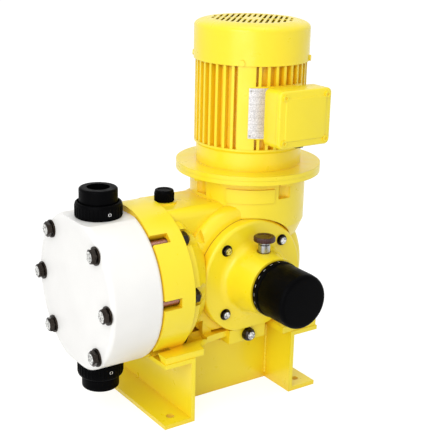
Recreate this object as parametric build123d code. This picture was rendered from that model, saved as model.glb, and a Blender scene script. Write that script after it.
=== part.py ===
from build123d import *
import math
import os

# Diaphragm metering pump: a vertical flange motor drives a worm gear in a cast housing, an eccentric
# shaft pushes a plunger and its diaphragm, and two ball valves in a plastic head do the pumping.
# Millimetres. Z is up, the liquid end points along -X and the stroke knob along -Y. The origin is
# the centre of the four anchor holes in the stand, on the floor.

# ---------------------------------------------------------------- driving dimensions
# stand
STAND_LENGTH = 250.0
STAND_WIDTH = 200.0
STAND_HEIGHT = 92.0
STAND_PLATE = 6.0
LEG_SPREAD = 170.0
WEB_SPREAD = 86.0
WEB_CLEARANCE = 3.0
ANCHOR_SPACING_X = 210.0
ANCHOR_SPACING_Y = 160.0
ANCHOR_HOLE_R = 5.5
FOOT_BOLT_Y = 84.0
FOOT_BOLT_R = 4.0
FOOT_BOLT_FLATS = 13.0
FOOT_BOLT_HEAD = 5.5
FOOT_BOLT_TIP_GAP = 2.0

# positions of the two main axes
SHAFT_HEIGHT = 84.0
AXIS_Z = STAND_HEIGHT + SHAFT_HEIGHT
GEAR_X = 28.0
CENTRE_DISTANCE = 40.0

# gear housing
DRUM_R = 100.0
DRUM_HALF = 60.0
DRUM_EDGE_R = 14.0
CAVITY_R = 84.0
CAVITY_HALF = 49.0
SUMP_HALF = 36.0
SUMP_DEPTH = 16.0
SUMP_FLOOR = 11.0
SUMP_WALL = 9.0
SUMP_FRONT_INSET = 32.0
SUMP_REAR_INSET = 22.0
BELLY_DROP = 72.0
SADDLE_HALF = 44.0
SADDLE_EDGE_R = 12.0
FOOT_PAD = 9.0
FOOT_INSET = 1.5
FOOT_REACH = 14.0
FOOT_WING_INSET = 6.0
COVER_OPENING_R = 54.0
GUSSET_THICKNESS = 9.0
GUSSET_INSET = 1.0
GUSSET_TOP_X = 27.5
GUSSET_TOP_DROP = 48.0
GUSSET_FRONT_OUTSET = 20.0
GUSSET_REAR_INSET = 8.0

# ring that carries the pump head
RING_R = 105.0
RING_LENGTH = 45.0
RING_FRONT_X = -129.0
SHOULDER_R = 97.0
SHOULDER_LENGTH = 12.0
SHOULDER_TAPER = 30.0
BODY_R = 72.0
WINDOW_WIDTH = 13.4
WINDOW_LENGTH = 25.0
OIL_CHAMBER_R = 66.0
OIL_CHAMBER_DEPTH = 24.0

# lantern neck under the motor
NECK_R = 80.0
NECK_WALL = 11.0
NECK_FLOOR_RISE = 86.0
NECK_BOWL_RISE = 64.0
NECK_BOWL_DROP = 42.0
NECK_BOWL_R = 52.0
NECK_BOWL_MIDDLE_R = 72.0
NECK_BOWL_MIDDLE_DROP = 19.0
NECK_HEIGHT = 45.0
NECK_FLANGE = 6.0
BOLT_POCKET_R = 10.5
BOLT_POCKET_HEIGHT = 26.0
COUPLING_DOOR_START_ANGLE = -146.0
COUPLING_DOOR_END_ANGLE = -99.0
COUPLING_DOOR_RISE = 15.0
COUPLING_DOOR_HEIGHT = 19.0
COUPLING_DOOR = 2.0

# side covers
COVER_R = 80.0
COVER_THICKNESS = 15.0
COVER_SPIGOT = 8.0
COVER_SCREW_CIRCLE_R = 64.0
COVER_SCREW_R = 3.5
COVER_EDGE_R = 5.0
COVER_FLAT = 73.0
COVER_RECESS = 0.6
GASKET = 0.8
BOSS_FLARE_R = 56.0
BOSS_FLARE = 12.0
BOSS_BASE_R = 46.0
BOSS_END_R = 40.0
BOSS_LENGTH = 48.0
BEARING_RELIEF_R = 32.0
BEARING_RELIEF = 2.0
COVER_SCREW_HEAD_R = 6.65
COVER_SCREW_HEAD = 6.0
LOCK_SPOT = 2.0
LOCK_FLAT_MARGIN = 1.5
COVER_SCREW_TIP_GAP = 1.0
REAR_HUB_R = 34.0
REAR_HUB_LENGTH = 6.0

# stroke adjuster
KNOB_R = 37.0
KNOB_LENGTH = 60.0
KNOB_EDGE_R = 6.0
KNOB_GAP = 0.5
KNOB_SKIRT_R = 38.0
KNOB_SKIRT_LENGTH = 9.0
SLEEVE_R = 14.0
SLEEVE_FLANGE_R = 19.0
SLEEVE_FLANGE = 6.0
SLEEVE_END_WALL = 2.0
SHAFT_CHAMFER = 1.0
SPINDLE_R = 9.0
SPINDLE_LENGTH = 76.0
RETAINER_R = 30.0
RETAINER = 5.0
LOCK_Y = 97.0
LOCK_STEM_R = 8.0
LOCK_STEM_LENGTH = 16.0
LOCK_CAP_R = 14.5
LOCK_CAP = 7.0
LOCK_CAP_EDGE_R = 1.8
LOCK_THREAD_R = 4.0
LOCK_POINT_GAP = 2.0

# drive train
WORM_R = 9.7
WORM_ROOT_R = 7.0
WORM_PITCH = 6.3
WORM_ROOT_SHARE = 0.36
WORM_TIP_SHARE = 0.16
WHEEL_ROOT_SHARE = 1.5
WHEEL_TIP_SHARE = 0.6
JOURNAL_MARGIN = 2.0
SHAFT_END_GAP = 1.0
SPACER_WALL = 2.0
WORM_LENGTH = 60.0
WORM_SHAFT_R = 10.0
WORM_LOWER_JOURNAL_R = 7.5
WORM_FOOT_DROP = 81.0
WHEEL_R = 29.6
WHEEL_ROOT_R = 26.0
WHEEL_WIDTH = 16.0
WHEEL_TEETH = 30
CRANK_R = 12.0
CRANK_JOURNAL_R = 10.0
ECCENTRIC_R = 18.0
ECCENTRIC_OFFSET = 5.0
ECCENTRIC_WIDTH = 12.0
ECCENTRIC_GAP = 3.0
STROKE = 10.0
BEARING_WIDTH = 12.0
BEARING_WALL = 10.0
SMALL_BEARING_WALL = 7.0
COUPLING_R = 22.0
COUPLING_LENGTH = 38.0

# plunger and diaphragm
PLUNGER_R = 14.0
YOKE_WALL = 7.0
YOKE_PLATE = 8.0
CROSSHEAD = 16.0
BUSH_WALL = 6.0
BUSH_LENGTH = 30.0
DIAPHRAGM_THICKNESS = 4.0
DIAPHRAGM_RIM_R = 83.0
DIAPHRAGM_FLEX_R = 61.0
DIAPHRAGM_CROWN_R = 30.0
DIAPHRAGM_CROWN = 1.5
BACKING_DISC_R = 42.0
BACKING_DISC = 8.0
BACKING_RIM = 3.0
BACKING_HUB_R = 17.0

# pump head
HEAD_R = 104.0
HEAD_LENGTH = 74.0
HEAD_EDGE_R = 6.0
HEAD_FLAT = 97.0
CHAMBER_R = 63.0
CHAMBER_DEPTH = 7.0
PASSAGE_R = 8.0
PASSAGE_OFFSET = 40.0

# head bolts: six of the eight places on the circle, the two under the valves left out
HEAD_BOLT_CIRCLE_R = 92.0
HEAD_BOLT_ANGLE = 47.5
HEAD_BOLT_R = 6.0
HEAD_BOLT_FLATS = 18.0
HEAD_BOLT_HEAD = 7.5
HEAD_NUT = 10.0
HEAD_STUD_TIP = 3.0
WASHER = 2.0
WASHER_R = 12.0

# ball valves
VALVE_POCKET_R = 22.0
VALVE_POCKET_DEPTH = 40.0
UNION_R = 31.0
UNION_LENGTH = 20.0
UNION_EDGE_R = 4.0
PORT_R = 25.0
PORT_REACH = 38.0
PORT_BORE_R = 15.0
PORT_DEPTH = 18.0
PORT_EDGE_R = 3.0
PORT_SPIGOT = 10.0
PORT_COLLAR = 3.0
PORT_COLLAR_LENGTH = 6.0
SUCTION_DROP = 7.0
SEAT_THICKNESS = 8.0
SEAT_BORE_R = 7.0
SEAT_CONE = 1.5
BALL_R = 9.0
BALL_LIFT = 4.0
CAGE_BORE_R = 12.0
CAGE_RIB = 3.0

# motor, frame size 80 with a flange of 200 mm
MOTOR_FLANGE_R = 100.0
MOTOR_FLANGE = 6.0
MOTOR_SPIGOT_R = 65.0
MOTOR_SPIGOT = 3.0
FLANGE_BOLT_CIRCLE_R = 82.5
FLANGE_BOLT_R = 5.0
FLANGE_BOLT_ANGLE = -87.0
FLANGE_BOLT_FLATS = 16.0
FLANGE_BOLT_HEAD = 6.4
FLANGE_NECK_R = 72.5
SHIELD_R = 75.5
SHIELD_LIP = 6.0
SHIELD_HEIGHT = 30.0
SHIELD_FLOOR = 12.0
FLANGE_BOLT_TIP_GAP = 1.0
FRAME_HEIGHT = 118.0
FRAME_CORE_R = 67.0
FRAME_WALL = 6.0
FIN_R = 75.5
PAD_R = 75.8
FIN_THICKNESS = 4.0
FIN_COUNT = 40
STRIP_START_ANGLE = -139.0
STRIP_END_ANGLE = -121.0
PAD_END_ANGLE = -62.0
PAD_HEIGHT = 70.0
COWL_R = 78.0
COWL_WALL = 1.6
COWL_OVERLAP = 8.0
COWL_SIDE = 43.0
COWL_CROWN = 10.0
COWL_BEND_RISE = 0.62
COWL_BEND_OUT = 0.45
COWL_BEND_DROP = 0.12
COWL_SHOULDER_INSET = 0.6
COWL_BOTTOM_INSET = 0.1
COWL_TOP_INSET = 0.5
GRILLE_HUB_GAP = 2.0
GRILLE_RIB_HALF = 1.5
COWL_TOP_R = 61.0
COWL_SCREW_R = 2.0
COWL_SCREW_HEAD = 2.5
GRILLE_R = 55.0
GRILLE_HUB_R = 13.0
GRILLE_SLOT = 3.6
GRILLE_PITCH = 7.4
GRILLE_ANGLE = 48.0
MOTOR_SHAFT_R = 9.5
ROTOR_R = 38.0
AIR_GAP = 0.6
CORE_LENGTH = 70.0
CORE_DROP = 4.0
ROTOR_OVERHANG = 2.0
WINDING_LENGTH = 12.0
WINDING_WALL = 14.0
WINDING_INSET = 2.0
WINDING_EDGE_R = 2.5
MOTOR_BEARING_WIDTH = 12.0
REAR_SHIELD = 8.0
REAR_SHIELD_INSET = 1.5
REAR_SHIELD_RIM = 3.0
REAR_SHIELD_HUB = 5.0
REAR_SHIELD_BORE_R = 11.5
FAN_R = 62.0
FAN_HUB_R = 20.0
FAN_BLADES = 8
FAN_WIDTH = 17.0
FAN_BLADE = 2.4
FAN_GAP = 4.0
SHAFT_TIP = 2.0
NAMEPLATE_START_ANGLE = -127.5
NAMEPLATE_END_ANGLE = -108.5
NAMEPLATE_HEIGHT = 66.0
NAMEPLATE = 0.8

# terminal box
BOX_WIDTH = 84.0
BOX_HEIGHT = 74.0
BOX_RISE = 12.0
BOX_FRONT = 122.0
BOX_BACK = 88.0
BOX_NECK_WIDTH = 44.0
BOX_NECK_HEIGHT = 62.0
BOX_WALL = 4.0
BOX_CORNER_R = 7.0
LID_THICKNESS = 9.0
LID_PANEL = 1.6
LID_PANEL_INSET = 9.0
LID_SCREW_R = 2.5
LID_SCREW_HEAD_R = 4.2
LID_SCREW_INSET = 8.0
LID_SCREW_HEAD = 2.0
LID_SCREW_KEY_R = 2.1
LID_SCREW_REACH = 8.0
LID_SCREW_BOSS = 2.5
LID_EDGE_R = 2.5
LID_PANEL_SLOPE = 1.0
LID_SKIN = 3.0
LID_PANEL_SKIN = 1.0
BOX_SCREW_DEPTH = 10.0
ENTRY_R = 8.0
ENTRY_PLUG_R = 11.0
ENTRY_PLUG = 3.0
ENTRY_PLUG_TIP = 2.0
BOARD_WIDTH = 46.0
BOARD_DEPTH = 34.0
BOARD = 6.0
STUD_R = 2.5
STUD_LENGTH = 9.0
STUD_NUT_R = 4.5
STUD_NUT = 4.0
STUD_PITCH_X = 14.0
STUD_PITCH_Y = 18.0

# oil fittings
OIL_CAP_R = 13.5
OIL_CAP_HEIGHT = 16.0
OIL_CAP_X = -68.0
OIL_CAP_EDGE_R = 4.0
OIL_CAP_SPIGOT = 10.0
OIL_HOLE_R = 8.0
OIL_BOSS_R = 16.5
OIL_BOSS = 2.0
DRAIN_X = 24.0
DRAIN_DROP = 84.0
DRAIN_BOSS_WIDTH = 60.0
DRAIN_BOSS_HEIGHT = 20.0
DRAIN_BOSS_FRONT = 72.0
DRAIN_PLUG_R = 9.5
DRAIN_PLUG_FLANGE = 3.0
DRAIN_PLUG_FLATS = 15.0
DRAIN_PLUG_HEX = 7.0
DRAIN_PLUG_EDGE_R = 1.5
DRAIN_PLUG_THREAD = 12.0
DRAIN_THREAD_R = 7.0

# fits
RUNNING = 0.05
LOOSE = 0.3
BODY_GAP = 0.5

# how far a cut passes a face, or a root sinks into what carries it
OVER = 1.0
ANGLE_OVER = 1.0
TOOTH_SINK = 0.5

# ---------------------------------------------------------------- worked-out places
MOTOR_X = GEAR_X + CENTRE_DISTANCE
RING_REAR_X = RING_FRONT_X + RING_LENGTH
HEAD_FRONT_X = RING_FRONT_X - HEAD_LENGTH
VALVE_X = RING_FRONT_X - HEAD_LENGTH / 2
DRUM_TOP_Z = AXIS_Z + DRUM_R
BELLY_Z = AXIS_Z - BELLY_DROP
SUMP_BOTTOM_Z = STAND_HEIGHT - SUMP_DEPTH
DRAIN_Z = AXIS_Z - DRAIN_DROP
WORM_FOOT_Z = AXIS_Z - WORM_FOOT_DROP
NECK_BOWL_Z = AXIS_Z + NECK_BOWL_RISE
NECK_FLOOR_Z = AXIS_Z + NECK_FLOOR_RISE
COUPLING_DOOR_BOTTOM_Z = NECK_FLOOR_Z + COUPLING_DOOR_RISE
FLANGE_BOTTOM_Z = NECK_FLOOR_Z + NECK_HEIGHT
FLANGE_TOP_Z = FLANGE_BOTTOM_Z + NECK_FLANGE
FRAME_BOTTOM_Z = FLANGE_TOP_Z + MOTOR_FLANGE + SHIELD_HEIGHT
FRAME_TOP_Z = FRAME_BOTTOM_Z + FRAME_HEIGHT
COWL_BOTTOM_Z = FRAME_TOP_Z - COWL_OVERLAP
COWL_SHOULDER_Z = COWL_BOTTOM_Z + COWL_SIDE
COWL_TOP_Z = COWL_SHOULDER_Z + COWL_CROWN
BOX_BOTTOM_Z = FRAME_BOTTOM_Z + BOX_RISE
BOX_MIDDLE_Z = BOX_BOTTOM_Z + BOX_HEIGHT / 2
ENTRY_Y = (BOX_BACK + BOX_WALL + BOX_FRONT - LID_THICKNESS) / 2
COVER_FACE_Y = DRUM_HALF + GASKET
BOSS_START_Y = COVER_FACE_Y + COVER_THICKNESS
BOSS_END_Y = BOSS_START_Y + BOSS_LENGTH
KNOB_START_Y = BOSS_END_Y + KNOB_GAP
BEARING_OUTER_R = CRANK_JOURNAL_R + BEARING_WALL
BEARING_START_Y = DRUM_HALF - COVER_SPIGOT + BEARING_RELIEF
LEG_OUTER_X = LEG_SPREAD / 2

BASE_ALIGN = (Align.CENTER, Align.CENTER, Align.MIN)


# ---------------------------------------------------------------- helpers
def rod(radius, length):
    return Cylinder(radius, length, align=BASE_ALIGN)


def tube(outer_r, inner_r, length):
    return rod(outer_r, length) - rod(inner_r, length)


def along_x(shape, x, y=0.0, z=AXIS_Z):
    """Stands a shape's own Z axis along +X, from a point."""
    return Pos(x, y, z) * Rot(0, 90, 0) * shape


def toward_knob(shape, y, x=GEAR_X, z=AXIS_Z):
    """Stands a shape's own Z axis along -Y, y mm in front of the centre plane."""
    return Pos(x, -y, z) * Rot(90, 0, 0) * shape


def away_from_knob(shape, y, x=GEAR_X, z=AXIS_Z):
    """Stands a shape's own Z axis along +Y, y mm behind the centre plane."""
    return Pos(x, y, z) * Rot(-90, 0, 0) * shape


def upright(shape, z, x=MOTOR_X, y=0.0):
    return Pos(x, y, z) * shape


def block(x0, x1, y0, y1, z0, z1):
    return Pos((x0 + x1) / 2, (y0 + y1) / 2, (z0 + z1) / 2) * Box(x1 - x0, y1 - y0, z1 - z0)


def on_circle(radius, angle):
    turn = math.radians(angle)
    return radius * math.cos(turn), radius * math.sin(turn)


def turned(points):
    """Revolves an (r, z) outline about the Z axis."""
    return revolve(make_face(Plane.XZ * Polyline(*points, close=True)), Axis.Z)


def sector(shape, start, end, height):
    """The part of a ring that lies between two angles about the Z axis."""
    reach = MOTOR_FLANGE_R * 2
    corners = [(0, 0)] + [on_circle(reach, angle) for angle in (start, (start + end) / 2, end)]
    return shape & extrude(make_face(Polyline(*corners, close=True)), height)


def hex_bolt(shank_r, shank_length, flats, head):
    """Shank up along +Z from the seat, with the head below the seat."""
    return rod(shank_r, shank_length) + Pos(0, 0, -head) * extrude(
        RegularPolygon(flats / 2, 6, major_radius=False), head
    )


def socket_screw(shank_r, shank_length, head_r, head, socket_r):
    """Shank up along +Z from the seat, with a socket head below the seat."""
    body = rod(shank_r, shank_length) + Pos(0, 0, -head) * rod(head_r, head)
    key = Pos(0, 0, -head) * extrude(RegularPolygon(socket_r, 6), head * 0.6)
    return body - key


def head_bolt_places():
    """(y, z) of each head bolt from the pump axis."""
    angles = [0.0, HEAD_BOLT_ANGLE, 180.0 - HEAD_BOLT_ANGLE]
    angles += [180.0, 180.0 + HEAD_BOLT_ANGLE, -HEAD_BOLT_ANGLE]
    return [on_circle(HEAD_BOLT_CIRCLE_R, angle) for angle in angles]


def cover_screw_places():
    return [on_circle(COVER_SCREW_CIRCLE_R, 45.0 + 90.0 * k) for k in range(4)]


def flange_bolt_places():
    spots = [on_circle(FLANGE_BOLT_CIRCLE_R, FLANGE_BOLT_ANGLE + 90.0 * k) for k in range(4)]
    return [(MOTOR_X + x, y) for x, y in spots]


def save(name, shapes):
    shapes = shapes if isinstance(shapes, list) else [shapes]
    solids = [solid for shape in shapes for solid in shape.solids()]
    shape = solids[0] if len(solids) == 1 else Compound(children=solids)
    export_step(shape, os.path.join("parts", name + ".step"))


# ---------------------------------------------------------------- stand
def stand_frame():
    half = STAND_LENGTH / 2
    wide = STAND_WIDTH / 2
    stand = None
    for side in (-1, 1):
        inner_x = side * (LEG_OUTER_X - STAND_PLATE)
        outer_x = side * LEG_OUTER_X
        tip_x = side * half
        leg = block(min(inner_x, outer_x), max(inner_x, outer_x), -wide, wide, 0, STAND_HEIGHT)
        for z0 in (0.0, STAND_HEIGHT - STAND_PLATE):
            leg += block(min(outer_x, tip_x), max(outer_x, tip_x), -wide, wide, z0, z0 + STAND_PLATE)
        stand = leg if stand is None else stand + leg
    drum_room = toward_knob(rod(DRUM_R + WEB_CLEARANCE, STAND_WIDTH), -wide)
    for side in (-1, 1):
        web_y = side * (WEB_SPREAD - STAND_PLATE) / 2
        web = block(
            -LEG_OUTER_X, LEG_OUTER_X, web_y - STAND_PLATE / 2, web_y + STAND_PLATE / 2, 0, STAND_HEIGHT
        )
        stand += web - drum_room
    shoulder_end_x = RING_REAR_X + SHOULDER_LENGTH + SHOULDER_TAPER
    stand -= along_x(rod(RING_R + BODY_GAP, RING_REAR_X + half), -half)
    stand -= along_x(rod(SHOULDER_R + BODY_GAP, shoulder_end_x + half), -half)
    for sx in (-1, 1):
        for sy in (-1, 1):
            x = sx * ANCHOR_SPACING_X / 2
            stand -= Pos(x, sy * ANCHOR_SPACING_Y / 2, 0) * rod(ANCHOR_HOLE_R, STAND_PLATE)
            stand -= Pos(x, sy * FOOT_BOLT_Y, STAND_HEIGHT - STAND_PLATE) * rod(
                FOOT_BOLT_R + LOOSE, STAND_PLATE
            )
    return stand


def stand_bolts():
    """Four bolts up through the stand's top flanges into the housing's feet."""
    reach = STAND_PLATE + FOOT_PAD - FOOT_BOLT_TIP_GAP
    bolt = hex_bolt(FOOT_BOLT_R, reach, FOOT_BOLT_FLATS, FOOT_BOLT_HEAD)
    z = STAND_HEIGHT - STAND_PLATE
    return [
        Pos(sx * ANCHOR_SPACING_X / 2, sy * FOOT_BOLT_Y, z) * bolt for sx in (-1, 1) for sy in (-1, 1)
    ]


# ---------------------------------------------------------------- gear housing
def ring_outline():
    """Outline of the ring, shoulder and body, turned about the pump axis (Z along +X here)."""
    shoulder = RING_LENGTH + SHOULDER_LENGTH
    taper = shoulder + SHOULDER_TAPER
    return turned(
        [
            (0, 0),
            (RING_R, 0),
            (RING_R, RING_LENGTH),
            (SHOULDER_R, RING_LENGTH),
            (SHOULDER_R, shoulder),
            (BODY_R, taper),
            (BODY_R, GEAR_X - RING_FRONT_X),
            (0, GEAR_X - RING_FRONT_X),
        ]
    )


def saddle():
    """Flat-topped bridge between the ring and the neck, which carries the oil filler."""
    width = 2 * SADDLE_HALF
    profile = Plane.YZ * Pos(0, DRUM_TOP_Z - SADDLE_HALF) * RectangleRounded(
        width, width, SADDLE_EDGE_R
    )
    return Pos(RING_REAR_X - OVER, 0, 0) * extrude(profile, MOTOR_X - RING_REAR_X)


def neck_body():
    """Lantern neck: a bowl that grows out of the drum, a straight wall and a thin top flange."""
    bowl = turned(
        [
            (0, NECK_BOWL_Z - NECK_BOWL_DROP),
            (NECK_BOWL_R, NECK_BOWL_Z - NECK_BOWL_DROP),
            (NECK_BOWL_MIDDLE_R, NECK_BOWL_Z - NECK_BOWL_MIDDLE_DROP),
            (NECK_R, NECK_BOWL_Z),
            (NECK_R, FLANGE_BOTTOM_Z),
            (MOTOR_FLANGE_R, FLANGE_BOTTOM_Z),
            (MOTOR_FLANGE_R, FLANGE_TOP_Z),
            (0, FLANGE_TOP_Z),
        ]
    )
    return Pos(MOTOR_X, 0, 0) * bowl


def feet():
    """Two foot pads on the stand's top flanges, joined by the sump."""
    wide = STAND_WIDTH / 2 - FOOT_INSET
    half = STAND_LENGTH / 2 - FOOT_INSET
    top = STAND_HEIGHT + FOOT_PAD
    inner = LEG_OUTER_X - STAND_PLATE
    pads = block(-half, -inner + FOOT_REACH, -wide, wide, STAND_HEIGHT, top)
    pads += block(inner - FOOT_REACH, half, -wide, wide, STAND_HEIGHT, top)
    pads += block(-inner, inner, -SUMP_HALF, SUMP_HALF, SUMP_BOTTOM_Z, BELLY_Z + SUMP_FLOOR / 2)
    return pads


def foot_wings():
    """Flat wings that sweep from the head end's foot pad in to the drain boss, one each side."""
    inner = LEG_OUTER_X - STAND_PLATE
    start = (-inner + FOOT_REACH, STAND_WIDTH / 2 - FOOT_INSET)
    end = (DRAIN_X - DRAIN_BOSS_WIDTH / 2, DRAIN_BOSS_FRONT - FOOT_WING_INSET)
    sweep = Bezier(start, (start[0], end[1]), end)
    sides = Polyline(end, (end[0], SUMP_HALF), (-inner, SUMP_HALF), (-inner, start[1]), start)
    wing = Pos(0, 0, STAND_HEIGHT) * extrude(make_face(sweep + sides), FOOT_PAD)
    return wing + mirror(wing, Plane.XZ)


def gussets():
    """Curved ribs from the feet up to the drum, one pair each side."""
    ribs = None
    foot_z = STAND_HEIGHT + FOOT_PAD - GUSSET_INSET
    reaches = {-1: LEG_OUTER_X + GUSSET_FRONT_OUTSET, 1: STAND_LENGTH / 2 - GUSSET_REAR_INSET}
    for sx, reach in reaches.items():
        start = (sx * reach, foot_z)
        end = (sx * GUSSET_TOP_X, AXIS_Z - GUSSET_TOP_DROP)
        curve = Bezier(start, (sx * (reach + GUSSET_TOP_X) / 2, foot_z), end)
        close = Polyline(end, (sx * GUSSET_TOP_X, foot_z), start)
        face = make_face(Plane.XZ * (curve + close))
        for sy in (-1, 1):
            y = sy * (DRUM_HALF - GUSSET_THICKNESS / 2 - GUSSET_INSET)
            rib = Pos(0, y, 0) * extrude(face, GUSSET_THICKNESS / 2, both=True)
            ribs = rib if ribs is None else ribs + rib
    return ribs


def gear_housing():
    drum = toward_knob(rod(DRUM_R, 2 * DRUM_HALF), -DRUM_HALF)
    drum = fillet(drum.edges().filter_by(GeomType.CIRCLE), DRUM_EDGE_R)
    belly = block(
        -STAND_LENGTH, STAND_LENGTH, -STAND_WIDTH, STAND_WIDTH, 0, BELLY_Z
    )
    casting = drum - belly
    casting += along_x(ring_outline(), RING_FRONT_X)
    casting += saddle()
    casting += neck_body()
    casting += feet()
    casting += foot_wings()
    casting += gussets()
    casting += block(
        DRAIN_X - DRAIN_BOSS_WIDTH / 2,
        DRAIN_X + DRAIN_BOSS_WIDTH / 2,
        -DRAIN_BOSS_FRONT,
        -SUMP_HALF,
        DRAIN_Z - DRAIN_BOSS_HEIGHT / 2,
        DRAIN_Z + DRAIN_BOSS_HEIGHT / 2,
    )
    casting += Pos(OIL_CAP_X, 0, DRUM_TOP_Z - OIL_BOSS) * rod(OIL_BOSS_R, 2 * OIL_BOSS)

    # gear room, with a round opening each side for the covers
    room = toward_knob(rod(CAVITY_R, 2 * CAVITY_HALF), -CAVITY_HALF)
    room -= block(-STAND_LENGTH, STAND_LENGTH, -STAND_WIDTH, STAND_WIDTH, 0, BELLY_Z + SUMP_WALL)
    room += block(
        -LEG_OUTER_X + SUMP_FRONT_INSET,
        LEG_OUTER_X - SUMP_REAR_INSET,
        -SUMP_HALF + SUMP_WALL,
        SUMP_HALF - SUMP_WALL,
        SUMP_BOTTOM_Z + SUMP_FLOOR,
        AXIS_Z,
    )
    casting -= room
    casting -= toward_knob(rod(COVER_OPENING_R, 2 * DRUM_HALF), -DRUM_HALF)

    # round recesses that the side covers sit in
    recess = rod(COVER_R + COVER_RECESS, NECK_R)
    casting -= toward_knob(recess, DRUM_HALF) - drain_clearance()
    casting -= away_from_knob(recess, DRUM_HALF)

    # coupling room in the neck
    casting -= upright(rod(NECK_R - NECK_WALL, FLANGE_TOP_Z - NECK_FLOOR_Z), NECK_FLOOR_Z)
    casting -= upright(rod(MOTOR_SPIGOT_R + LOOSE, MOTOR_SPIGOT + OVER), FLANGE_TOP_Z - MOTOR_SPIGOT - OVER)

    # flange bolts: holes, and pockets in the neck's wall for their heads
    for x, y in flange_bolt_places():
        casting -= Pos(x, y, FLANGE_BOTTOM_Z) * rod(FLANGE_BOLT_R + LOOSE, NECK_FLANGE)
        casting -= Pos(x, y, FLANGE_BOTTOM_Z - BOLT_POCKET_HEIGHT) * rod(BOLT_POCKET_R, BOLT_POCKET_HEIGHT)

    # worm bearings
    casting -= upright(rod(WORM_SHAFT_R + BEARING_WALL, NECK_FLOOR_Z - AXIS_Z), AXIS_Z)
    casting -= upright(
        rod(WORM_LOWER_JOURNAL_R + SMALL_BEARING_WALL, AXIS_Z - WORM_FOOT_Z),
        WORM_FOOT_Z,
    )

    # plunger bore and the chamber behind the diaphragm
    casting -= along_x(rod(PLUNGER_R + BUSH_WALL, GEAR_X - RING_FRONT_X), RING_FRONT_X)
    casting -= along_x(rod(OIL_CHAMBER_R, OIL_CHAMBER_DEPTH), RING_FRONT_X)
    casting -= along_x(rod(DIAPHRAGM_RIM_R + LOOSE, DIAPHRAGM_THICKNESS / 2), RING_FRONT_X)

    # head bolts: holes, side windows that show the shanks, and seats for the nuts
    for y, z in head_bolt_places():
        casting -= along_x(rod(HEAD_BOLT_R + LOOSE, RING_LENGTH), RING_FRONT_X, y, AXIS_Z + z)
        nut_room = SHOULDER_LENGTH + SHOULDER_TAPER
        casting -= along_x(rod(WASHER_R + OVER, nut_room), RING_REAR_X, y, AXIS_Z + z)
        angle = math.degrees(math.atan2(z, y))
        window = Box(
            HEAD_BOLT_CIRCLE_R, WINDOW_WIDTH, WINDOW_LENGTH, align=(Align.MIN, Align.CENTER, Align.MIN)
        )
        window = Rot(0, 0, angle + 90.0) * Pos(HEAD_BOLT_CIRCLE_R - WINDOW_WIDTH / 2, 0, 0) * window
        casting -= along_x(window, RING_FRONT_X)

    # tapped holes and the oil holes
    for sx in (-1, 1):
        for sy in (-1, 1):
            x = sx * ANCHOR_SPACING_X / 2
            thread = rod(FOOT_BOLT_R, FOOT_PAD - FOOT_BOLT_TIP_GAP)
            casting -= Pos(x, sy * FOOT_BOLT_Y, STAND_HEIGHT) * thread
    for x, z in cover_screw_places():
        for sy in (-1, 1):
            start = -DRUM_HALF if sy < 0 else CAVITY_HALF
            casting -= toward_knob(
                rod(COVER_SCREW_R, DRUM_HALF - CAVITY_HALF), start, GEAR_X + x, AXIS_Z + z
            )
    casting -= Pos(OIL_CAP_X, 0, AXIS_Z) * rod(OIL_HOLE_R, DRUM_TOP_Z + OIL_BOSS - AXIS_Z)
    casting -= toward_knob(rod(DRAIN_THREAD_R, DRAIN_BOSS_FRONT), 0, DRAIN_X, DRAIN_Z)
    return casting


# ---------------------------------------------------------------- side covers
def cover_plate(seat_depth):
    """Round side cover, local Z outwards from its seat, with the bearing seat in its spigot."""
    plate = rod(COVER_R, COVER_THICKNESS)
    plate = fillet(plate.edges().filter_by(GeomType.CIRCLE).group_by(Axis.Z)[-1], COVER_EDGE_R)
    spigot_length = COVER_SPIGOT + GASKET
    plate += Pos(0, 0, -spigot_length) * rod(COVER_OPENING_R - LOOSE, spigot_length)
    plate -= Pos(0, 0, -spigot_length) * rod(BEARING_RELIEF_R, BEARING_RELIEF)
    plate -= Pos(0, 0, -spigot_length) * rod(BEARING_OUTER_R, seat_depth)
    for x, y in cover_screw_places():
        plate -= Pos(x, y, 0) * rod(COVER_SCREW_R + LOOSE, COVER_THICKNESS)
    return plate


def bearing_depth():
    return BEARING_START_Y + BEARING_WIDTH - (DRUM_HALF - COVER_SPIGOT)


def boss():
    """Cone for the stroke adjuster, with a flared root on the cover."""
    flare_end = (BOSS_BASE_R + (BOSS_END_R - BOSS_BASE_R) * BOSS_FLARE / BOSS_LENGTH, BOSS_FLARE)
    root = (BOSS_FLARE_R, 0)
    flare = Bezier(root, (BOSS_BASE_R, 0), flare_end)
    sides = Polyline(flare_end, (BOSS_END_R, BOSS_LENGTH), (0, BOSS_LENGTH), (0, 0), root)
    return revolve(make_face(Plane.XZ * (flare + sides)), Axis.Z)


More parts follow.
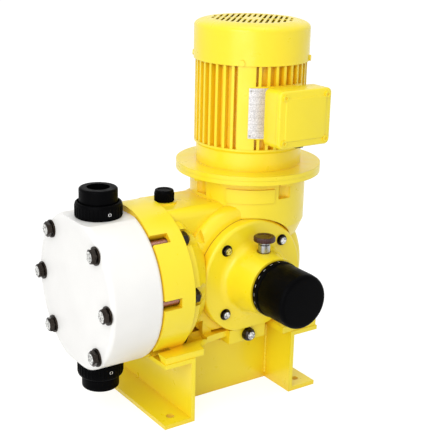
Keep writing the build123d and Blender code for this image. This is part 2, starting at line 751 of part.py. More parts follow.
def gear_cover():
    """Front cover with the long conical boss that guides the stroke adjuster."""
    cover = cover_plate(bearing_depth())
    cover += Pos(0, 0, COVER_THICKNESS) * boss()
    bore_start = bearing_depth() - COVER_SPIGOT - GASKET
    cover -= Pos(0, 0, bore_start) * rod(SPINDLE_R + RUNNING, BOSS_LENGTH + COVER_THICKNESS)
    sleeve_room = SLEEVE_FLANGE + RETAINER + LOOSE
    end = COVER_THICKNESS + BOSS_LENGTH
    cover -= Pos(0, 0, end - sleeve_room) * rod(SLEEVE_FLANGE_R + LOOSE, sleeve_room)
    cover -= Pos(0, 0, end - RETAINER) * rod(RETAINER_R + LOOSE, RETAINER)
    cover = toward_knob(cover, COVER_FACE_Y)
    lock_hole = Pos(GEAR_X, -LOCK_Y, AXIS_Z + SPINDLE_R + OVER) * rod(LOCK_THREAD_R + RUNNING, BOSS_BASE_R)
    seat_z = AXIS_Z + lock_seat_height()
    flat = Pos(GEAR_X, -LOCK_Y, seat_z) * rod(LOCK_STEM_R + LOCK_FLAT_MARGIN, BOSS_BASE_R)
    return cover - lock_hole - flat - drain_clearance()


def lock_seat_height():
    """Height of the lock knob's seat over the boss axis: the boss there, less a small spot face."""
    share = (LOCK_Y - BOSS_START_Y) / BOSS_LENGTH
    return BOSS_BASE_R + (BOSS_END_R - BOSS_BASE_R) * share - LOCK_SPOT


def rear_cover():
    """Plain bearing cover on the side away from the knob."""
    cover = cover_plate(bearing_depth())
    hub = Pos(0, 0, COVER_THICKNESS) * rod(REAR_HUB_R, REAR_HUB_LENGTH)
    cover += fillet(hub.edges().group_by(Axis.Z)[-1], REAR_HUB_LENGTH / 2)
    return away_from_knob(cover, COVER_FACE_Y)


def drain_clearance():
    """Room under the front cover's flat, for the drain boss."""
    z = AXIS_Z - COVER_FLAT
    return block(GEAR_X - COVER_R, GEAR_X + COVER_R, -BOSS_START_Y - OVER, -DRUM_HALF, z - COVER_R, z)


def cover_gasket():
    ring = tube(COVER_R, COVER_OPENING_R, GASKET)
    for x, y in cover_screw_places():
        ring -= Pos(x, y, 0) * rod(COVER_SCREW_R + LOOSE, GASKET)
    return ring


def cover_screws(place):
    """Four socket screws for one side cover."""
    seat = COVER_FACE_Y + COVER_THICKNESS
    thread = DRUM_HALF - CAVITY_HALF - COVER_SCREW_TIP_GAP
    screw = Rot(180, 0, 0) * socket_screw(
        COVER_SCREW_R,
        COVER_THICKNESS + GASKET + thread,
        COVER_SCREW_HEAD_R,
        COVER_SCREW_HEAD,
        COVER_SCREW_R,
    )
    return [place(screw, seat, GEAR_X + x, AXIS_Z + z) for x, z in cover_screw_places()]


# ---------------------------------------------------------------- stroke adjuster
def stroke_knob():
    """Cup-shaped grip with a shallow skirt."""
    body = rod(KNOB_R, KNOB_LENGTH)
    body = fillet(body.edges().group_by(Axis.Z)[-1], KNOB_EDGE_R)
    body += rod(KNOB_SKIRT_R, KNOB_SKIRT_LENGTH)
    body -= rod(SLEEVE_R, KNOB_LENGTH - KNOB_EDGE_R * 2)
    return toward_knob(body, KNOB_START_Y)


def adjuster_sleeve():
    """Threaded brass sleeve, held in the boss by its flange and pressed into the knob."""
    start = BOSS_END_Y - RETAINER - SLEEVE_FLANGE
    length = KNOB_START_Y + KNOB_LENGTH - KNOB_EDGE_R * 2 - start
    sleeve = rod(SLEEVE_FLANGE_R, SLEEVE_FLANGE) + rod(SLEEVE_R, length)
    sleeve -= rod(SPINDLE_R + RUNNING, length - SLEEVE_END_WALL)
    return toward_knob(sleeve, start)


def sleeve_retainer():
    """Screwed ring in the end of the boss that keeps the sleeve's flange in."""
    ring = tube(RETAINER_R, SLEEVE_R + RUNNING, RETAINER)
    return toward_knob(ring, BOSS_END_Y - RETAINER)


def adjuster_spindle():
    """Spindle that the sleeve moves along the boss; its inner end bears on the crank shaft."""
    start = BEARING_START_Y + BEARING_WIDTH + BODY_GAP
    spindle = rod(SPINDLE_R, SPINDLE_LENGTH)
    spindle = chamfer(spindle.edges().filter_by(GeomType.CIRCLE), SHAFT_CHAMFER)
    return toward_knob(spindle, start)


def stroke_lock():
    """Knurled lock knob on the top of the boss; its stem is a threaded clamp screw."""
    seat_z = AXIS_Z + lock_seat_height() + LOOSE
    knob = rod(LOCK_STEM_R, LOCK_STEM_LENGTH)
    cap = Pos(0, 0, LOCK_STEM_LENGTH) * rod(LOCK_CAP_R, LOCK_CAP)
    cap = fillet(cap.edges().filter_by(GeomType.CIRCLE), LOCK_CAP_EDGE_R)
    reach = lock_seat_height() - SPINDLE_R - LOCK_POINT_GAP
    thread = Pos(0, 0, -reach) * rod(LOCK_THREAD_R, reach)
    return Pos(GEAR_X, -LOCK_Y, seat_z) * (knob + cap + thread)


# ---------------------------------------------------------------- drive train
def worm_shaft():
    """Vertical worm with its journals and the stub that the coupling grips."""
    bottom = WORM_FOOT_Z
    lower_top = bottom + BEARING_WIDTH + JOURNAL_MARGIN
    worm_bottom = AXIS_Z - WORM_LENGTH / 2
    worm_top = AXIS_Z + WORM_LENGTH / 2
    coupling_top = NECK_FLOOR_Z + BODY_GAP + COUPLING_LENGTH / 2
    shaft = turned(
        [
            (0, bottom + BODY_GAP),
            (WORM_LOWER_JOURNAL_R, bottom + BODY_GAP),
            (WORM_LOWER_JOURNAL_R, lower_top),
            (WORM_ROOT_R, lower_top + JOURNAL_MARGIN),
            (WORM_ROOT_R, worm_top),
            (WORM_SHAFT_R, worm_top + 2 * JOURNAL_MARGIN),
            (WORM_SHAFT_R, coupling_top),
            (0, coupling_top),
        ]
    )
    thread = None
    for k in range(int(WORM_LENGTH / WORM_PITCH)):
        z = worm_bottom + WORM_PITCH * (k + 0.5)
        ridge = turned(
            [
                (WORM_ROOT_R - TOOTH_SINK, z - WORM_PITCH * WORM_ROOT_SHARE),
                (WORM_R, z - WORM_PITCH * WORM_TIP_SHARE),
                (WORM_R, z + WORM_PITCH * WORM_TIP_SHARE),
                (WORM_ROOT_R - TOOTH_SINK, z + WORM_PITCH * WORM_ROOT_SHARE),
            ]
        )
        thread = ridge if thread is None else thread + ridge
    return Pos(MOTOR_X, 0, 0) * (shaft + thread)


def worm_bearings():
    lower = tube(WORM_LOWER_JOURNAL_R + SMALL_BEARING_WALL, WORM_LOWER_JOURNAL_R + RUNNING, BEARING_WIDTH)
    upper = tube(WORM_SHAFT_R + BEARING_WALL, WORM_SHAFT_R + RUNNING, BEARING_WIDTH)
    return [
        upright(lower, WORM_FOOT_Z),
        upright(upper, NECK_FLOOR_Z - BEARING_WIDTH),
    ]


def worm_wheel():
    """Bronze wheel, its teeth straight-flanked, on the middle of the crank shaft."""
    blank = tube(WHEEL_ROOT_R, CRANK_R, WHEEL_WIDTH)
    half_angle = 360.0 / WHEEL_TEETH / 4
    root_angle = half_angle * WHEEL_ROOT_SHARE
    tip_angle = half_angle * WHEEL_TIP_SHARE
    root = [on_circle(WHEEL_ROOT_R - TOOTH_SINK, turn) for turn in (-root_angle, root_angle)]
    tip = [on_circle(WHEEL_R, turn) for turn in (tip_angle, -tip_angle)]
    tooth = extrude(make_face(Polyline(*root, *tip, close=True)), WHEEL_WIDTH)
    teeth = [Rot(0, 0, 360.0 / WHEEL_TEETH * k) * tooth for k in range(WHEEL_TEETH)]
    return toward_knob(blank + teeth, -WHEEL_WIDTH / 2)


def crank_shaft():
    """Horizontal shaft with an eccentric on each side of the worm wheel."""
    reach = BEARING_START_Y + BEARING_WIDTH - SHAFT_END_GAP
    shaft = rod(CRANK_R, 2 * (BEARING_START_Y - SHAFT_END_GAP)) + Pos(0, 0, BEARING_START_Y - SHAFT_END_GAP - reach) * rod(
        CRANK_JOURNAL_R, 2 * reach
    )
    shaft = toward_knob(shaft, SHAFT_END_GAP - BEARING_START_Y)
    inner = WHEEL_WIDTH / 2 + ECCENTRIC_GAP
    disc = rod(ECCENTRIC_R, ECCENTRIC_WIDTH)
    shaft += toward_knob(disc, inner, z=AXIS_Z + ECCENTRIC_OFFSET)
    shaft += away_from_knob(disc, inner, z=AXIS_Z + ECCENTRIC_OFFSET)
    spacer = rod(CRANK_R + SPACER_WALL, ECCENTRIC_GAP)
    shaft += toward_knob(spacer, WHEEL_WIDTH / 2)
    shaft += away_from_knob(spacer, WHEEL_WIDTH / 2)
    return shaft


def crank_bearings():
    ring = tube(BEARING_OUTER_R, CRANK_JOURNAL_R + RUNNING, BEARING_WIDTH)
    return [toward_knob(ring, BEARING_START_Y), away_from_knob(ring, BEARING_START_Y)]


def shaft_coupling():
    sleeve = tube(COUPLING_R, WORM_SHAFT_R, COUPLING_LENGTH / 2)
    upper = Pos(0, 0, COUPLING_LENGTH / 2) * tube(COUPLING_R, MOTOR_SHAFT_R, COUPLING_LENGTH / 2)
    sleeve = chamfer((sleeve + upper).edges().filter_by(GeomType.CIRCLE).group_by(Axis.Z)[-1], SHAFT_CHAMFER)
    return upright(sleeve, NECK_FLOOR_Z + BODY_GAP)


# ---------------------------------------------------------------- plunger and diaphragm
def plunger():
    """Rod with a fork of two yoke plates that the eccentrics push to and fro."""
    half_x = ECCENTRIC_R + ECCENTRIC_OFFSET + STROKE / 2 + LOOSE
    half_z = ECCENTRIC_R + ECCENTRIC_OFFSET + LOOSE * 3
    outer_x = half_x + YOKE_WALL
    outer_z = half_z + YOKE_WALL
    plate_y = WHEEL_WIDTH / 2 + ECCENTRIC_GAP + (ECCENTRIC_WIDTH - YOKE_PLATE) / 2
    head_x = GEAR_X - WHEEL_R - STROKE / 2 - OVER
    rod_end = backing_front_x()
    yoke = None
    for side in (-1, 1):
        y0, y1 = sorted((side * plate_y, side * (plate_y + YOKE_PLATE)))
        frame = block(head_x - CROSSHEAD / 2, GEAR_X + outer_x, y0, y1, AXIS_Z - outer_z, AXIS_Z + outer_z)
        frame = fillet(frame.edges().filter_by(Axis.Y), YOKE_WALL)
        frame -= block(GEAR_X - half_x, GEAR_X + half_x, y0, y1, AXIS_Z - half_z, AXIS_Z + half_z)
        yoke = frame if yoke is None else yoke + frame
    reach_y = plate_y + YOKE_PLATE
    yoke += block(head_x - CROSSHEAD, head_x, -reach_y, reach_y, AXIS_Z - PLUNGER_R, AXIS_Z + PLUNGER_R)
    yoke += along_x(rod(PLUNGER_R, head_x - CROSSHEAD - rod_end), rod_end)
    return yoke


def backing_front_x():
    """Where the plunger meets the backing disc behind the diaphragm."""
    return RING_FRONT_X + DIAPHRAGM_THICKNESS / 2 + BACKING_DISC


def guide_bush():
    start = RING_FRONT_X + OIL_CHAMBER_DEPTH
    return along_x(tube(PLUNGER_R + BUSH_WALL, PLUNGER_R + RUNNING, BUSH_LENGTH), start)


def backing_disc():
    disc = turned(
        [
            (0, 0),
            (BACKING_DISC_R, 0),
            (BACKING_DISC_R, BACKING_RIM),
            (BACKING_HUB_R, BACKING_DISC),
            (0, BACKING_DISC),
        ]
    )
    return along_x(disc, RING_FRONT_X + DIAPHRAGM_THICKNESS / 2)


def diaphragm():
    """Moving middle of the diaphragm, as far out as the line where it flexes."""
    disc = turned(
        [
            (0, -DIAPHRAGM_CROWN),
            (DIAPHRAGM_CROWN_R, -DIAPHRAGM_CROWN),
            (BACKING_DISC_R, 0),
            (DIAPHRAGM_FLEX_R, 0),
            (DIAPHRAGM_FLEX_R, DIAPHRAGM_THICKNESS),
            (0, DIAPHRAGM_THICKNESS),
        ]
    )
    return along_x(disc, RING_FRONT_X - DIAPHRAGM_THICKNESS / 2)


def diaphragm_rim():
    """Clamped rim of the diaphragm, between the head and the ring."""
    rim = tube(DIAPHRAGM_RIM_R, DIAPHRAGM_FLEX_R + LOOSE, DIAPHRAGM_THICKNESS)
    return along_x(rim, RING_FRONT_X - DIAPHRAGM_THICKNESS / 2)


# ---------------------------------------------------------------- pump head
def valve_seat_z(side):
    """Outer end of a valve's pocket: +1 for discharge, -1 for suction."""
    return AXIS_Z + side * HEAD_FLAT


def pump_head():
    disc = rod(HEAD_R, HEAD_LENGTH)
    disc = fillet(disc.edges().filter_by(GeomType.CIRCLE), HEAD_EDGE_R)
    head = along_x(disc, HEAD_FRONT_X)
    for side in (-1, 1):
        z0, z1 = sorted((valve_seat_z(side), AXIS_Z + side * HEAD_R * 1.2))
        head -= block(HEAD_FRONT_X, RING_FRONT_X, -HEAD_R, HEAD_R, z0, z1)
        pocket = rod(VALVE_POCKET_R, VALVE_POCKET_DEPTH)
        passage = rod(PASSAGE_R, HEAD_FLAT - PASSAGE_OFFSET + PASSAGE_R)
        bore = pocket + passage
        if side > 0:
            head -= Pos(VALVE_X, 0, valve_seat_z(side)) * Rot(180, 0, 0) * bore
        else:
            head -= Pos(VALVE_X, 0, valve_seat_z(side)) * bore
        reach = RING_FRONT_X - VALVE_X
        head -= along_x(rod(PASSAGE_R, reach), VALVE_X, 0, AXIS_Z + side * PASSAGE_OFFSET)
    depth = DIAPHRAGM_THICKNESS / 2 + CHAMBER_DEPTH
    head -= along_x(rod(CHAMBER_R, depth), RING_FRONT_X - depth)
    half_sheet = DIAPHRAGM_THICKNESS / 2
    head -= along_x(rod(DIAPHRAGM_RIM_R + LOOSE, half_sheet), RING_FRONT_X - half_sheet)
    for y, z in head_bolt_places():
        head -= along_x(rod(HEAD_BOLT_R + LOOSE, HEAD_LENGTH), HEAD_FRONT_X, y, AXIS_Z + z)
    return head


def head_bolts():
    reach = HEAD_LENGTH + RING_LENGTH + 2 * WASHER + HEAD_NUT + HEAD_STUD_TIP
    bolt = hex_bolt(HEAD_BOLT_R, reach, HEAD_BOLT_FLATS, HEAD_BOLT_HEAD)
    return [along_x(bolt, HEAD_FRONT_X - WASHER, y, AXIS_Z + z) for y, z in head_bolt_places()]


def head_washers():
    washer = tube(WASHER_R, HEAD_BOLT_R, WASHER)
    places = head_bolt_places()
    front = [along_x(washer, HEAD_FRONT_X - WASHER, y, AXIS_Z + z) for y, z in places]
    rear = [along_x(washer, RING_REAR_X, y, AXIS_Z + z) for y, z in places]
    return front + rear


def head_nuts():
    nut = extrude(RegularPolygon(HEAD_BOLT_FLATS / 2, 6, major_radius=False), HEAD_NUT)
    nut -= rod(HEAD_BOLT_R, HEAD_NUT)
    return [along_x(nut, RING_REAR_X + WASHER, y, AXIS_Z + z) for y, z in head_bolt_places()]


# ---------------------------------------------------------------- ball valves
def outward(shape, side, drop=0.0):
    """Stands local Z outwards from the head's flat: up for discharge, down for suction."""
    turn = Rot(0, 0, 0) if side > 0 else Rot(180, 0, 0)
    return Pos(VALVE_X, 0, valve_seat_z(side) + side * drop) * turn * shape


def valve_port(side):
    """Threaded pipe connection that closes the valve pocket, with its flange under the nut."""
    drop = SUCTION_DROP if side < 0 else 0.0
    reach = PORT_REACH + drop
    outer = rod(PORT_R, reach)
    outer = fillet(outer.edges().group_by(Axis.Z)[-1], PORT_EDGE_R)
    outer += rod(PORT_R + PORT_COLLAR, PORT_COLLAR_LENGTH + drop)
    outer += Pos(0, 0, -PORT_SPIGOT) * rod(VALVE_POCKET_R - LOOSE, PORT_SPIGOT)
    outer -= Pos(0, 0, -PORT_SPIGOT) * rod(PASSAGE_R, PORT_SPIGOT + reach)
    outer -= Pos(0, 0, reach - PORT_DEPTH) * rod(PORT_BORE_R, PORT_DEPTH)
    return outward(outer, side)


def union_nut(side):
    drop = SUCTION_DROP if side < 0 else 0.0
    ring = rod(UNION_R, UNION_LENGTH)
    ring = fillet(ring.edges().group_by(Axis.Z)[-1], UNION_EDGE_R)
    ring -= rod(PORT_R + LOOSE, UNION_LENGTH)
    ring -= rod(PORT_R + PORT_COLLAR + LOOSE, PORT_COLLAR_LENGTH)
    return outward(ring, side, drop)


def valve_inside(shape, side, flow_z):
    """Stands local Z along the flow (up) inside a pocket, flow_z mm above its lower end."""
    lower = valve_seat_z(1) - VALVE_POCKET_DEPTH if side > 0 else valve_seat_z(-1) + PORT_SPIGOT
    return Pos(VALVE_X, 0, lower + flow_z) * shape


def valve_seat(side):
    """Ring with a conical mouth that the ball closes."""
    lip = seat_contact_r()
    seat = turned(
        [
            (SEAT_BORE_R, 0),
            (VALVE_POCKET_R - LOOSE, 0),
            (VALVE_POCKET_R - LOOSE, SEAT_THICKNESS),
            (lip, SEAT_THICKNESS),
            (SEAT_BORE_R, SEAT_THICKNESS - (lip - SEAT_BORE_R)),
        ]
    )
    return valve_inside(seat, side, 0)


def seat_contact_r():
    return SEAT_BORE_R + SEAT_CONE


def ball_rest_height():
    """Centre of the closed ball over the seat's lower face, a hair above the cone."""
    cone_tip = SEAT_THICKNESS - seat_contact_r()
    return cone_tip + (BALL_R + RUNNING) * math.sqrt(2)


def valve_ball(side):
    return valve_inside(Pos(0, 0, ball_rest_height()) * Sphere(BALL_R), side, 0)


def valve_cage(side):
    """Guide round the ball: a tube with a cross bar that stops the ball's lift."""
    height = VALVE_POCKET_DEPTH - PORT_SPIGOT - SEAT_THICKNESS
    stop = ball_rest_height() + BALL_R + BALL_LIFT + LOOSE - SEAT_THICKNESS
    cage = tube(VALVE_POCKET_R - LOOSE, CAGE_BORE_R, height)
    bar = block(-CAGE_BORE_R, CAGE_BORE_R, -CAGE_RIB / 2, CAGE_RIB / 2, stop, min(stop + CAGE_RIB, height))
    return valve_inside(cage + bar + Rot(0, 0, 90) * bar, side, SEAT_THICKNESS)


# ---------------------------------------------------------------- motor
def drive_end_shield():
    """Flange and bell-shaped end shield of the motor in one casting."""
    z0 = FLANGE_TOP_Z
    z1 = z0 + MOTOR_FLANGE
    z2 = FRAME_BOTTOM_Z
    bell = turned(
        [
            (MOTOR_SHAFT_R + BEARING_WALL, z0 - MOTOR_SPIGOT),
            (MOTOR_SPIGOT_R, z0 - MOTOR_SPIGOT),
            (MOTOR_SPIGOT_R, z0),
            (MOTOR_FLANGE_R, z0),
            (MOTOR_FLANGE_R, z1),
            (FLANGE_NECK_R, z1),
            (FLANGE_NECK_R, z2 - SHIELD_LIP),
            (SHIELD_R, z2 - SHIELD_LIP / 2),
            (SHIELD_R, z2),
            (FRAME_CORE_R - FRAME_WALL, z2),
            (FRAME_CORE_R - FRAME_WALL, z1 + SHIELD_FLOOR),
            (MOTOR_SHAFT_R + BEARING_WALL, z1 + SHIELD_FLOOR),
        ]
    )
    bell = Pos(MOTOR_X, 0, 0) * bell
    for x, y in flange_bolt_places():
        bell -= Pos(x, y, z0) * rod(FLANGE_BOLT_R, MOTOR_FLANGE - FLANGE_BOLT_TIP_GAP)
    return bell


def flange_bolts():
    """Bolts from below, with their heads in the neck's pockets, tapped into the motor flange."""
    reach = NECK_FLANGE + MOTOR_FLANGE - FLANGE_BOLT_TIP_GAP
    bolt = hex_bolt(FLANGE_BOLT_R, reach, FLANGE_BOLT_FLATS, FLANGE_BOLT_HEAD)
    return [Pos(x, y, FLANGE_BOTTOM_Z) * bolt for x, y in flange_bolt_places()]


def motor_frame():
    """Finned frame, with a smooth strip and pad for the plate and a neck for the terminal box."""
    frame = rod(FRAME_CORE_R, FRAME_HEIGHT)
    fin = Pos(FRAME_CORE_R - OVER, 0, 0) * Box(
        FIN_R - FRAME_CORE_R + OVER, FIN_THICKNESS, FRAME_HEIGHT, align=(Align.MIN, Align.CENTER, Align.MIN)
    )
    step = 360.0 / FIN_COUNT
    angles = [step * k - 180.0 for k in range(FIN_COUNT)]
    frame += [Rot(0, 0, angle) * fin for angle in angles if not STRIP_START_ANGLE < angle < STRIP_END_ANGLE]
    strip = tube(PAD_R, FRAME_CORE_R - OVER, FRAME_HEIGHT)
    frame += sector(strip, STRIP_START_ANGLE, STRIP_END_ANGLE, FRAME_HEIGHT)
    pad = tube(PAD_R, FRAME_CORE_R - OVER, PAD_HEIGHT)
    pad = sector(pad, STRIP_END_ANGLE - ANGLE_OVER, PAD_END_ANGLE, PAD_HEIGHT)
    middle = BOX_MIDDLE_Z - FRAME_BOTTOM_Z
    frame += Pos(0, 0, middle - PAD_HEIGHT / 2) * pad
    frame += block(
        -BOX_NECK_WIDTH / 2,
        BOX_NECK_WIDTH / 2,
        -BOX_BACK,
        -FRAME_CORE_R / 2,
        middle - BOX_NECK_HEIGHT / 2,
        middle + BOX_NECK_HEIGHT / 2,
    )
    frame -= rod(FRAME_CORE_R - FRAME_WALL, FRAME_HEIGHT)
    return Pos(MOTOR_X, 0, FRAME_BOTTOM_Z) * frame


def stator_core():
    """Laminated core with its windings standing out at both ends."""
    outer = FRAME_CORE_R - FRAME_WALL
    inner = ROTOR_R + AIR_GAP
    middle = FRAME_BOTTOM_Z + FRAME_HEIGHT / 2 - CORE_DROP
    core = Pos(0, 0, -CORE_LENGTH / 2) * tube(outer, inner, CORE_LENGTH)
    return Pos(MOTOR_X, 0, middle) * core


def stator_windings():
    inner = ROTOR_R + AIR_GAP + WINDING_INSET
    middle = FRAME_BOTTOM_Z + FRAME_HEIGHT / 2 - CORE_DROP
    coil = tube(inner + WINDING_WALL, inner, WINDING_LENGTH)
    ends = []
    for z in (-CORE_LENGTH / 2 - WINDING_LENGTH, CORE_LENGTH / 2):
        ends.append(Pos(MOTOR_X, 0, middle + z) * fillet(coil.edges(), WINDING_EDGE_R))
    return ends


def motor_shaft():
    bottom = NECK_FLOOR_Z + BODY_GAP + COUPLING_LENGTH / 2
    top = FRAME_TOP_Z + REAR_SHIELD + FAN_GAP + FAN_WIDTH + SHAFT_TIP
    return upright(rod(MOTOR_SHAFT_R, top - bottom), bottom)


def rotor_core():
    middle = FRAME_BOTTOM_Z + FRAME_HEIGHT / 2 - CORE_DROP
    core = tube(ROTOR_R, MOTOR_SHAFT_R, CORE_LENGTH + 2 * ROTOR_OVERHANG)
    return upright(core, middle - CORE_LENGTH / 2 - ROTOR_OVERHANG)


def motor_bearings():
    ring = tube(MOTOR_SHAFT_R + BEARING_WALL, MOTOR_SHAFT_R + RUNNING, MOTOR_BEARING_WIDTH)
    return [upright(ring, FLANGE_TOP_Z), upright(ring, FRAME_TOP_Z - MOTOR_BEARING_WIDTH / 2)]


def rear_shield():
    """Non-drive end shield that carries the upper motor bearing."""
    shield = turned(
        [
            (MOTOR_SHAFT_R + BEARING_WALL, FRAME_TOP_Z - MOTOR_BEARING_WIDTH / 2),
            (MOTOR_SHAFT_R + BEARING_WALL + REAR_SHIELD_HUB, FRAME_TOP_Z - MOTOR_BEARING_WIDTH / 2),
            (MOTOR_SHAFT_R + BEARING_WALL + REAR_SHIELD_HUB, FRAME_TOP_Z),
            (FIN_R - REAR_SHIELD_INSET, FRAME_TOP_Z),
            (FIN_R - REAR_SHIELD_INSET, FRAME_TOP_Z + REAR_SHIELD_RIM),
            (FRAME_CORE_R - REAR_SHIELD, FRAME_TOP_Z + REAR_SHIELD),
            (REAR_SHIELD_BORE_R, FRAME_TOP_Z + REAR_SHIELD),
            (REAR_SHIELD_BORE_R, FRAME_TOP_Z + MOTOR_BEARING_WIDTH / 2),
            (MOTOR_SHAFT_R + BEARING_WALL, FRAME_TOP_Z + MOTOR_BEARING_WIDTH / 2),
        ]
    )
    return Pos(MOTOR_X, 0, 0) * shield


def cooling_fan():
    """Radial fan: a hub, a thin back plate and straight blades."""
    bottom = FRAME_TOP_Z + REAR_SHIELD + FAN_GAP
    fan = tube(FAN_HUB_R, MOTOR_SHAFT_R, FAN_WIDTH)
    fan += tube(FAN_R, MOTOR_SHAFT_R, FAN_BLADE)
    blade = Pos(FAN_HUB_R - OVER, 0, 0) * Box(
        FAN_R - FAN_HUB_R + OVER, FAN_BLADE, FAN_WIDTH, align=(Align.MIN, Align.CENTER, Align.MIN)
    )
    fan += [Rot(0, 0, 360.0 / FAN_BLADES * k) * blade for k in range(FAN_BLADES)]
    return upright(fan, bottom)


def cowl_shell(inset):
    """Solid of revolution of the cowl's outside, or of its inside when inset by the wall."""
    top = COWL_TOP_Z - inset
    shoulder = COWL_SHOULDER_Z - inset * COWL_SHOULDER_INSET
    bottom = COWL_BOTTOM_Z - inset * COWL_BOTTOM_INSET
    side_r = COWL_R - inset
    top_r = COWL_TOP_R - inset * COWL_TOP_INSET
    side = Polyline((0, top), (0, bottom), (side_r, bottom), (side_r, shoulder))
    crown = Bezier(
        (side_r, shoulder),
        (side_r, shoulder + COWL_CROWN * COWL_BEND_RISE),
        (top_r + (side_r - top_r) * COWL_BEND_OUT, top - COWL_CROWN * COWL_BEND_DROP),
        (top_r, top),
    )
    return revolve(make_face(Plane.XZ * (side + crown + Line((top_r, top), (0, top)))), Axis.Z)


def grille_slots():
    """Parallel slots over the round grille, left out under the plain hub disc."""
    slots = []
    lines = int(GRILLE_R / GRILLE_PITCH)
    thickness = COWL_WALL * 4
    for k in range(-lines, lines + 1):
        offset = k * GRILLE_PITCH
        reach = math.sqrt(GRILLE_R**2 - offset**2)
        if abs(offset) < GRILLE_HUB_R:
            gap = math.sqrt(GRILLE_HUB_R**2 - offset**2) + GRILLE_HUB_GAP
            spans = [(-reach, -gap), (gap, reach)]
        else:
            spans = [(-reach, -GRILLE_RIB_HALF), (GRILLE_RIB_HALF, reach)]
        for start, end in spans:
            slot = Pos((start + end) / 2, offset, 0) * Box(end - start, GRILLE_SLOT, thickness)
            slots.append(slot)
    return [Rot(0, 0, GRILLE_ANGLE) * slot for slot in slots]


def fan_cowl():
    shell = cowl_shell(0) - cowl_shell(COWL_WALL)
    shell -= Pos(0, 0, COWL_BOTTOM_Z - OVER) * rod(COWL_R - COWL_WALL, 2 * OVER)
    shell -= [Pos(0, 0, COWL_TOP_Z) * slot for slot in grille_slots()]
    shell -= [radial(rod(COWL_SCREW_R + LOOSE, COWL_R), k) for k in range(4)]
    return Pos(MOTOR_X, 0, 0) * shell


def radial(shape, k):
    """Stands local Z outwards from the motor axis, at the height and angle of a cowl screw."""
    return Pos(0, 0, COWL_BOTTOM_Z + COWL_OVERLAP / 2) * Rot(0, 0, 45.0 + 90.0 * k) * Rot(0, 90, 0) * shape


def cowl_screws():
    """Four radial screws that hold the cowl to the frame's fins."""
    screw = Pos(0, 0, PAD_R) * rod(COWL_SCREW_R, COWL_R - PAD_R)
    screw += Pos(0, 0, COWL_R) * rod(COWL_SCREW_R * 2, COWL_SCREW_HEAD)
    return [Pos(MOTOR_X, 0, 0) * radial(screw, k) for k in range(4)]


def nameplate():
    """Bare plate bent round the smooth strip beside the terminal box."""
    plate = tube(PAD_R + LOOSE + NAMEPLATE, PAD_R + LOOSE, NAMEPLATE_HEIGHT)
    plate = sector(plate, NAMEPLATE_START_ANGLE, NAMEPLATE_END_ANGLE, NAMEPLATE_HEIGHT)
    return upright(plate, BOX_MIDDLE_Z - NAMEPLATE_HEIGHT / 2)


# ---------------------------------------------------------------- terminal box
def box_outline(inset):
    return RectangleRounded(BOX_WIDTH - 2 * inset, BOX_HEIGHT - 2 * inset, BOX_CORNER_R - inset / 2)


def at_box(shape, y):
    """Stands local Z along -Y at the box's middle, y mm in front of the motor axis."""
    return toward_knob(shape, y, MOTOR_X, BOX_MIDDLE_Z)


def terminal_box():
    depth = BOX_FRONT - LID_THICKNESS - BOX_BACK
    case = extrude(box_outline(0), depth)
    case -= Pos(0, 0, BOX_WALL) * extrude(box_outline(BOX_WALL), depth)
    for x, y in lid_screw_places():
        case += Pos(x, y, BOX_WALL) * rod(LID_SCREW_R + LID_SCREW_BOSS, depth - BOX_WALL)
        case -= Pos(x, y, depth - BOX_SCREW_DEPTH) * rod(LID_SCREW_R, BOX_SCREW_DEPTH)
    case = at_box(case, BOX_BACK)
    return case - Pos(MOTOR_X, -ENTRY_Y, BOX_BOTTOM_Z) * rod(ENTRY_R, BOX_WALL)


def lid_screw_places():
    x = BOX_WIDTH / 2 - LID_SCREW_INSET
    y = BOX_HEIGHT / 2 - LID_SCREW_INSET
    return [(sx * x, sy * y) for sx in (-1, 1) for sy in (-1, 1)]


def terminal_box_lid():
    lid = extrude(box_outline(0), LID_THICKNESS - LID_PANEL)
    lid = fillet(lid.edges().group_by(Axis.Z)[-1], LID_EDGE_R)
    lid -= extrude(box_outline(BOX_WALL), LID_THICKNESS - LID_PANEL - LID_SKIN)
    panel = extrude(box_outline(LID_PANEL_INSET), LID_THICKNESS)
    panel -= extrude(box_outline(LID_PANEL_INSET), LID_THICKNESS - LID_PANEL - LID_PANEL_SKIN)
    lid += chamfer(panel.edges().group_by(Axis.Z)[-1], LID_PANEL_SLOPE)
    for x, y in lid_screw_places():
        lid += Pos(x, y, 0) * rod(LID_SCREW_R + LID_SCREW_BOSS, LID_THICKNESS - LID_PANEL - LID_PANEL_SKIN)
        lid -= Pos(x, y, 0) * rod(LID_SCREW_R + LOOSE, LID_THICKNESS)
        lid -= Pos(x, y, LID_THICKNESS - LID_PANEL) * rod(LID_SCREW_HEAD_R + LOOSE, LID_PANEL)
    return at_box(lid, BOX_FRONT - LID_THICKNESS)


def lid_screws():
    seat = BOX_FRONT - LID_PANEL
    reach = LID_THICKNESS - LID_PANEL + LID_SCREW_REACH
    screw = socket_screw(LID_SCREW_R, reach, LID_SCREW_HEAD_R, LID_SCREW_HEAD, LID_SCREW_KEY_R)
    screw = Rot(180, 0, 0) * screw
    return [at_box(Pos(x, y, 0) * screw, seat) for x, y in lid_screw_places()]


def terminal_block():
    """Six-stud terminal board on the floor of the box."""
    board = Box(BOARD_WIDTH, BOARD_DEPTH, BOARD, align=BASE_ALIGN)
    for x in (-STUD_PITCH_X, 0.0, STUD_PITCH_X):
        for y in (-STUD_PITCH_Y / 2, STUD_PITCH_Y / 2):
            board += Pos(x, y, BOARD) * rod(STUD_R, STUD_LENGTH)
            board += Pos(x, y, BOARD) * extrude(RegularPolygon(STUD_NUT_R, 6), STUD_NUT)
    return at_box(board, BOX_BACK + BOX_WALL)


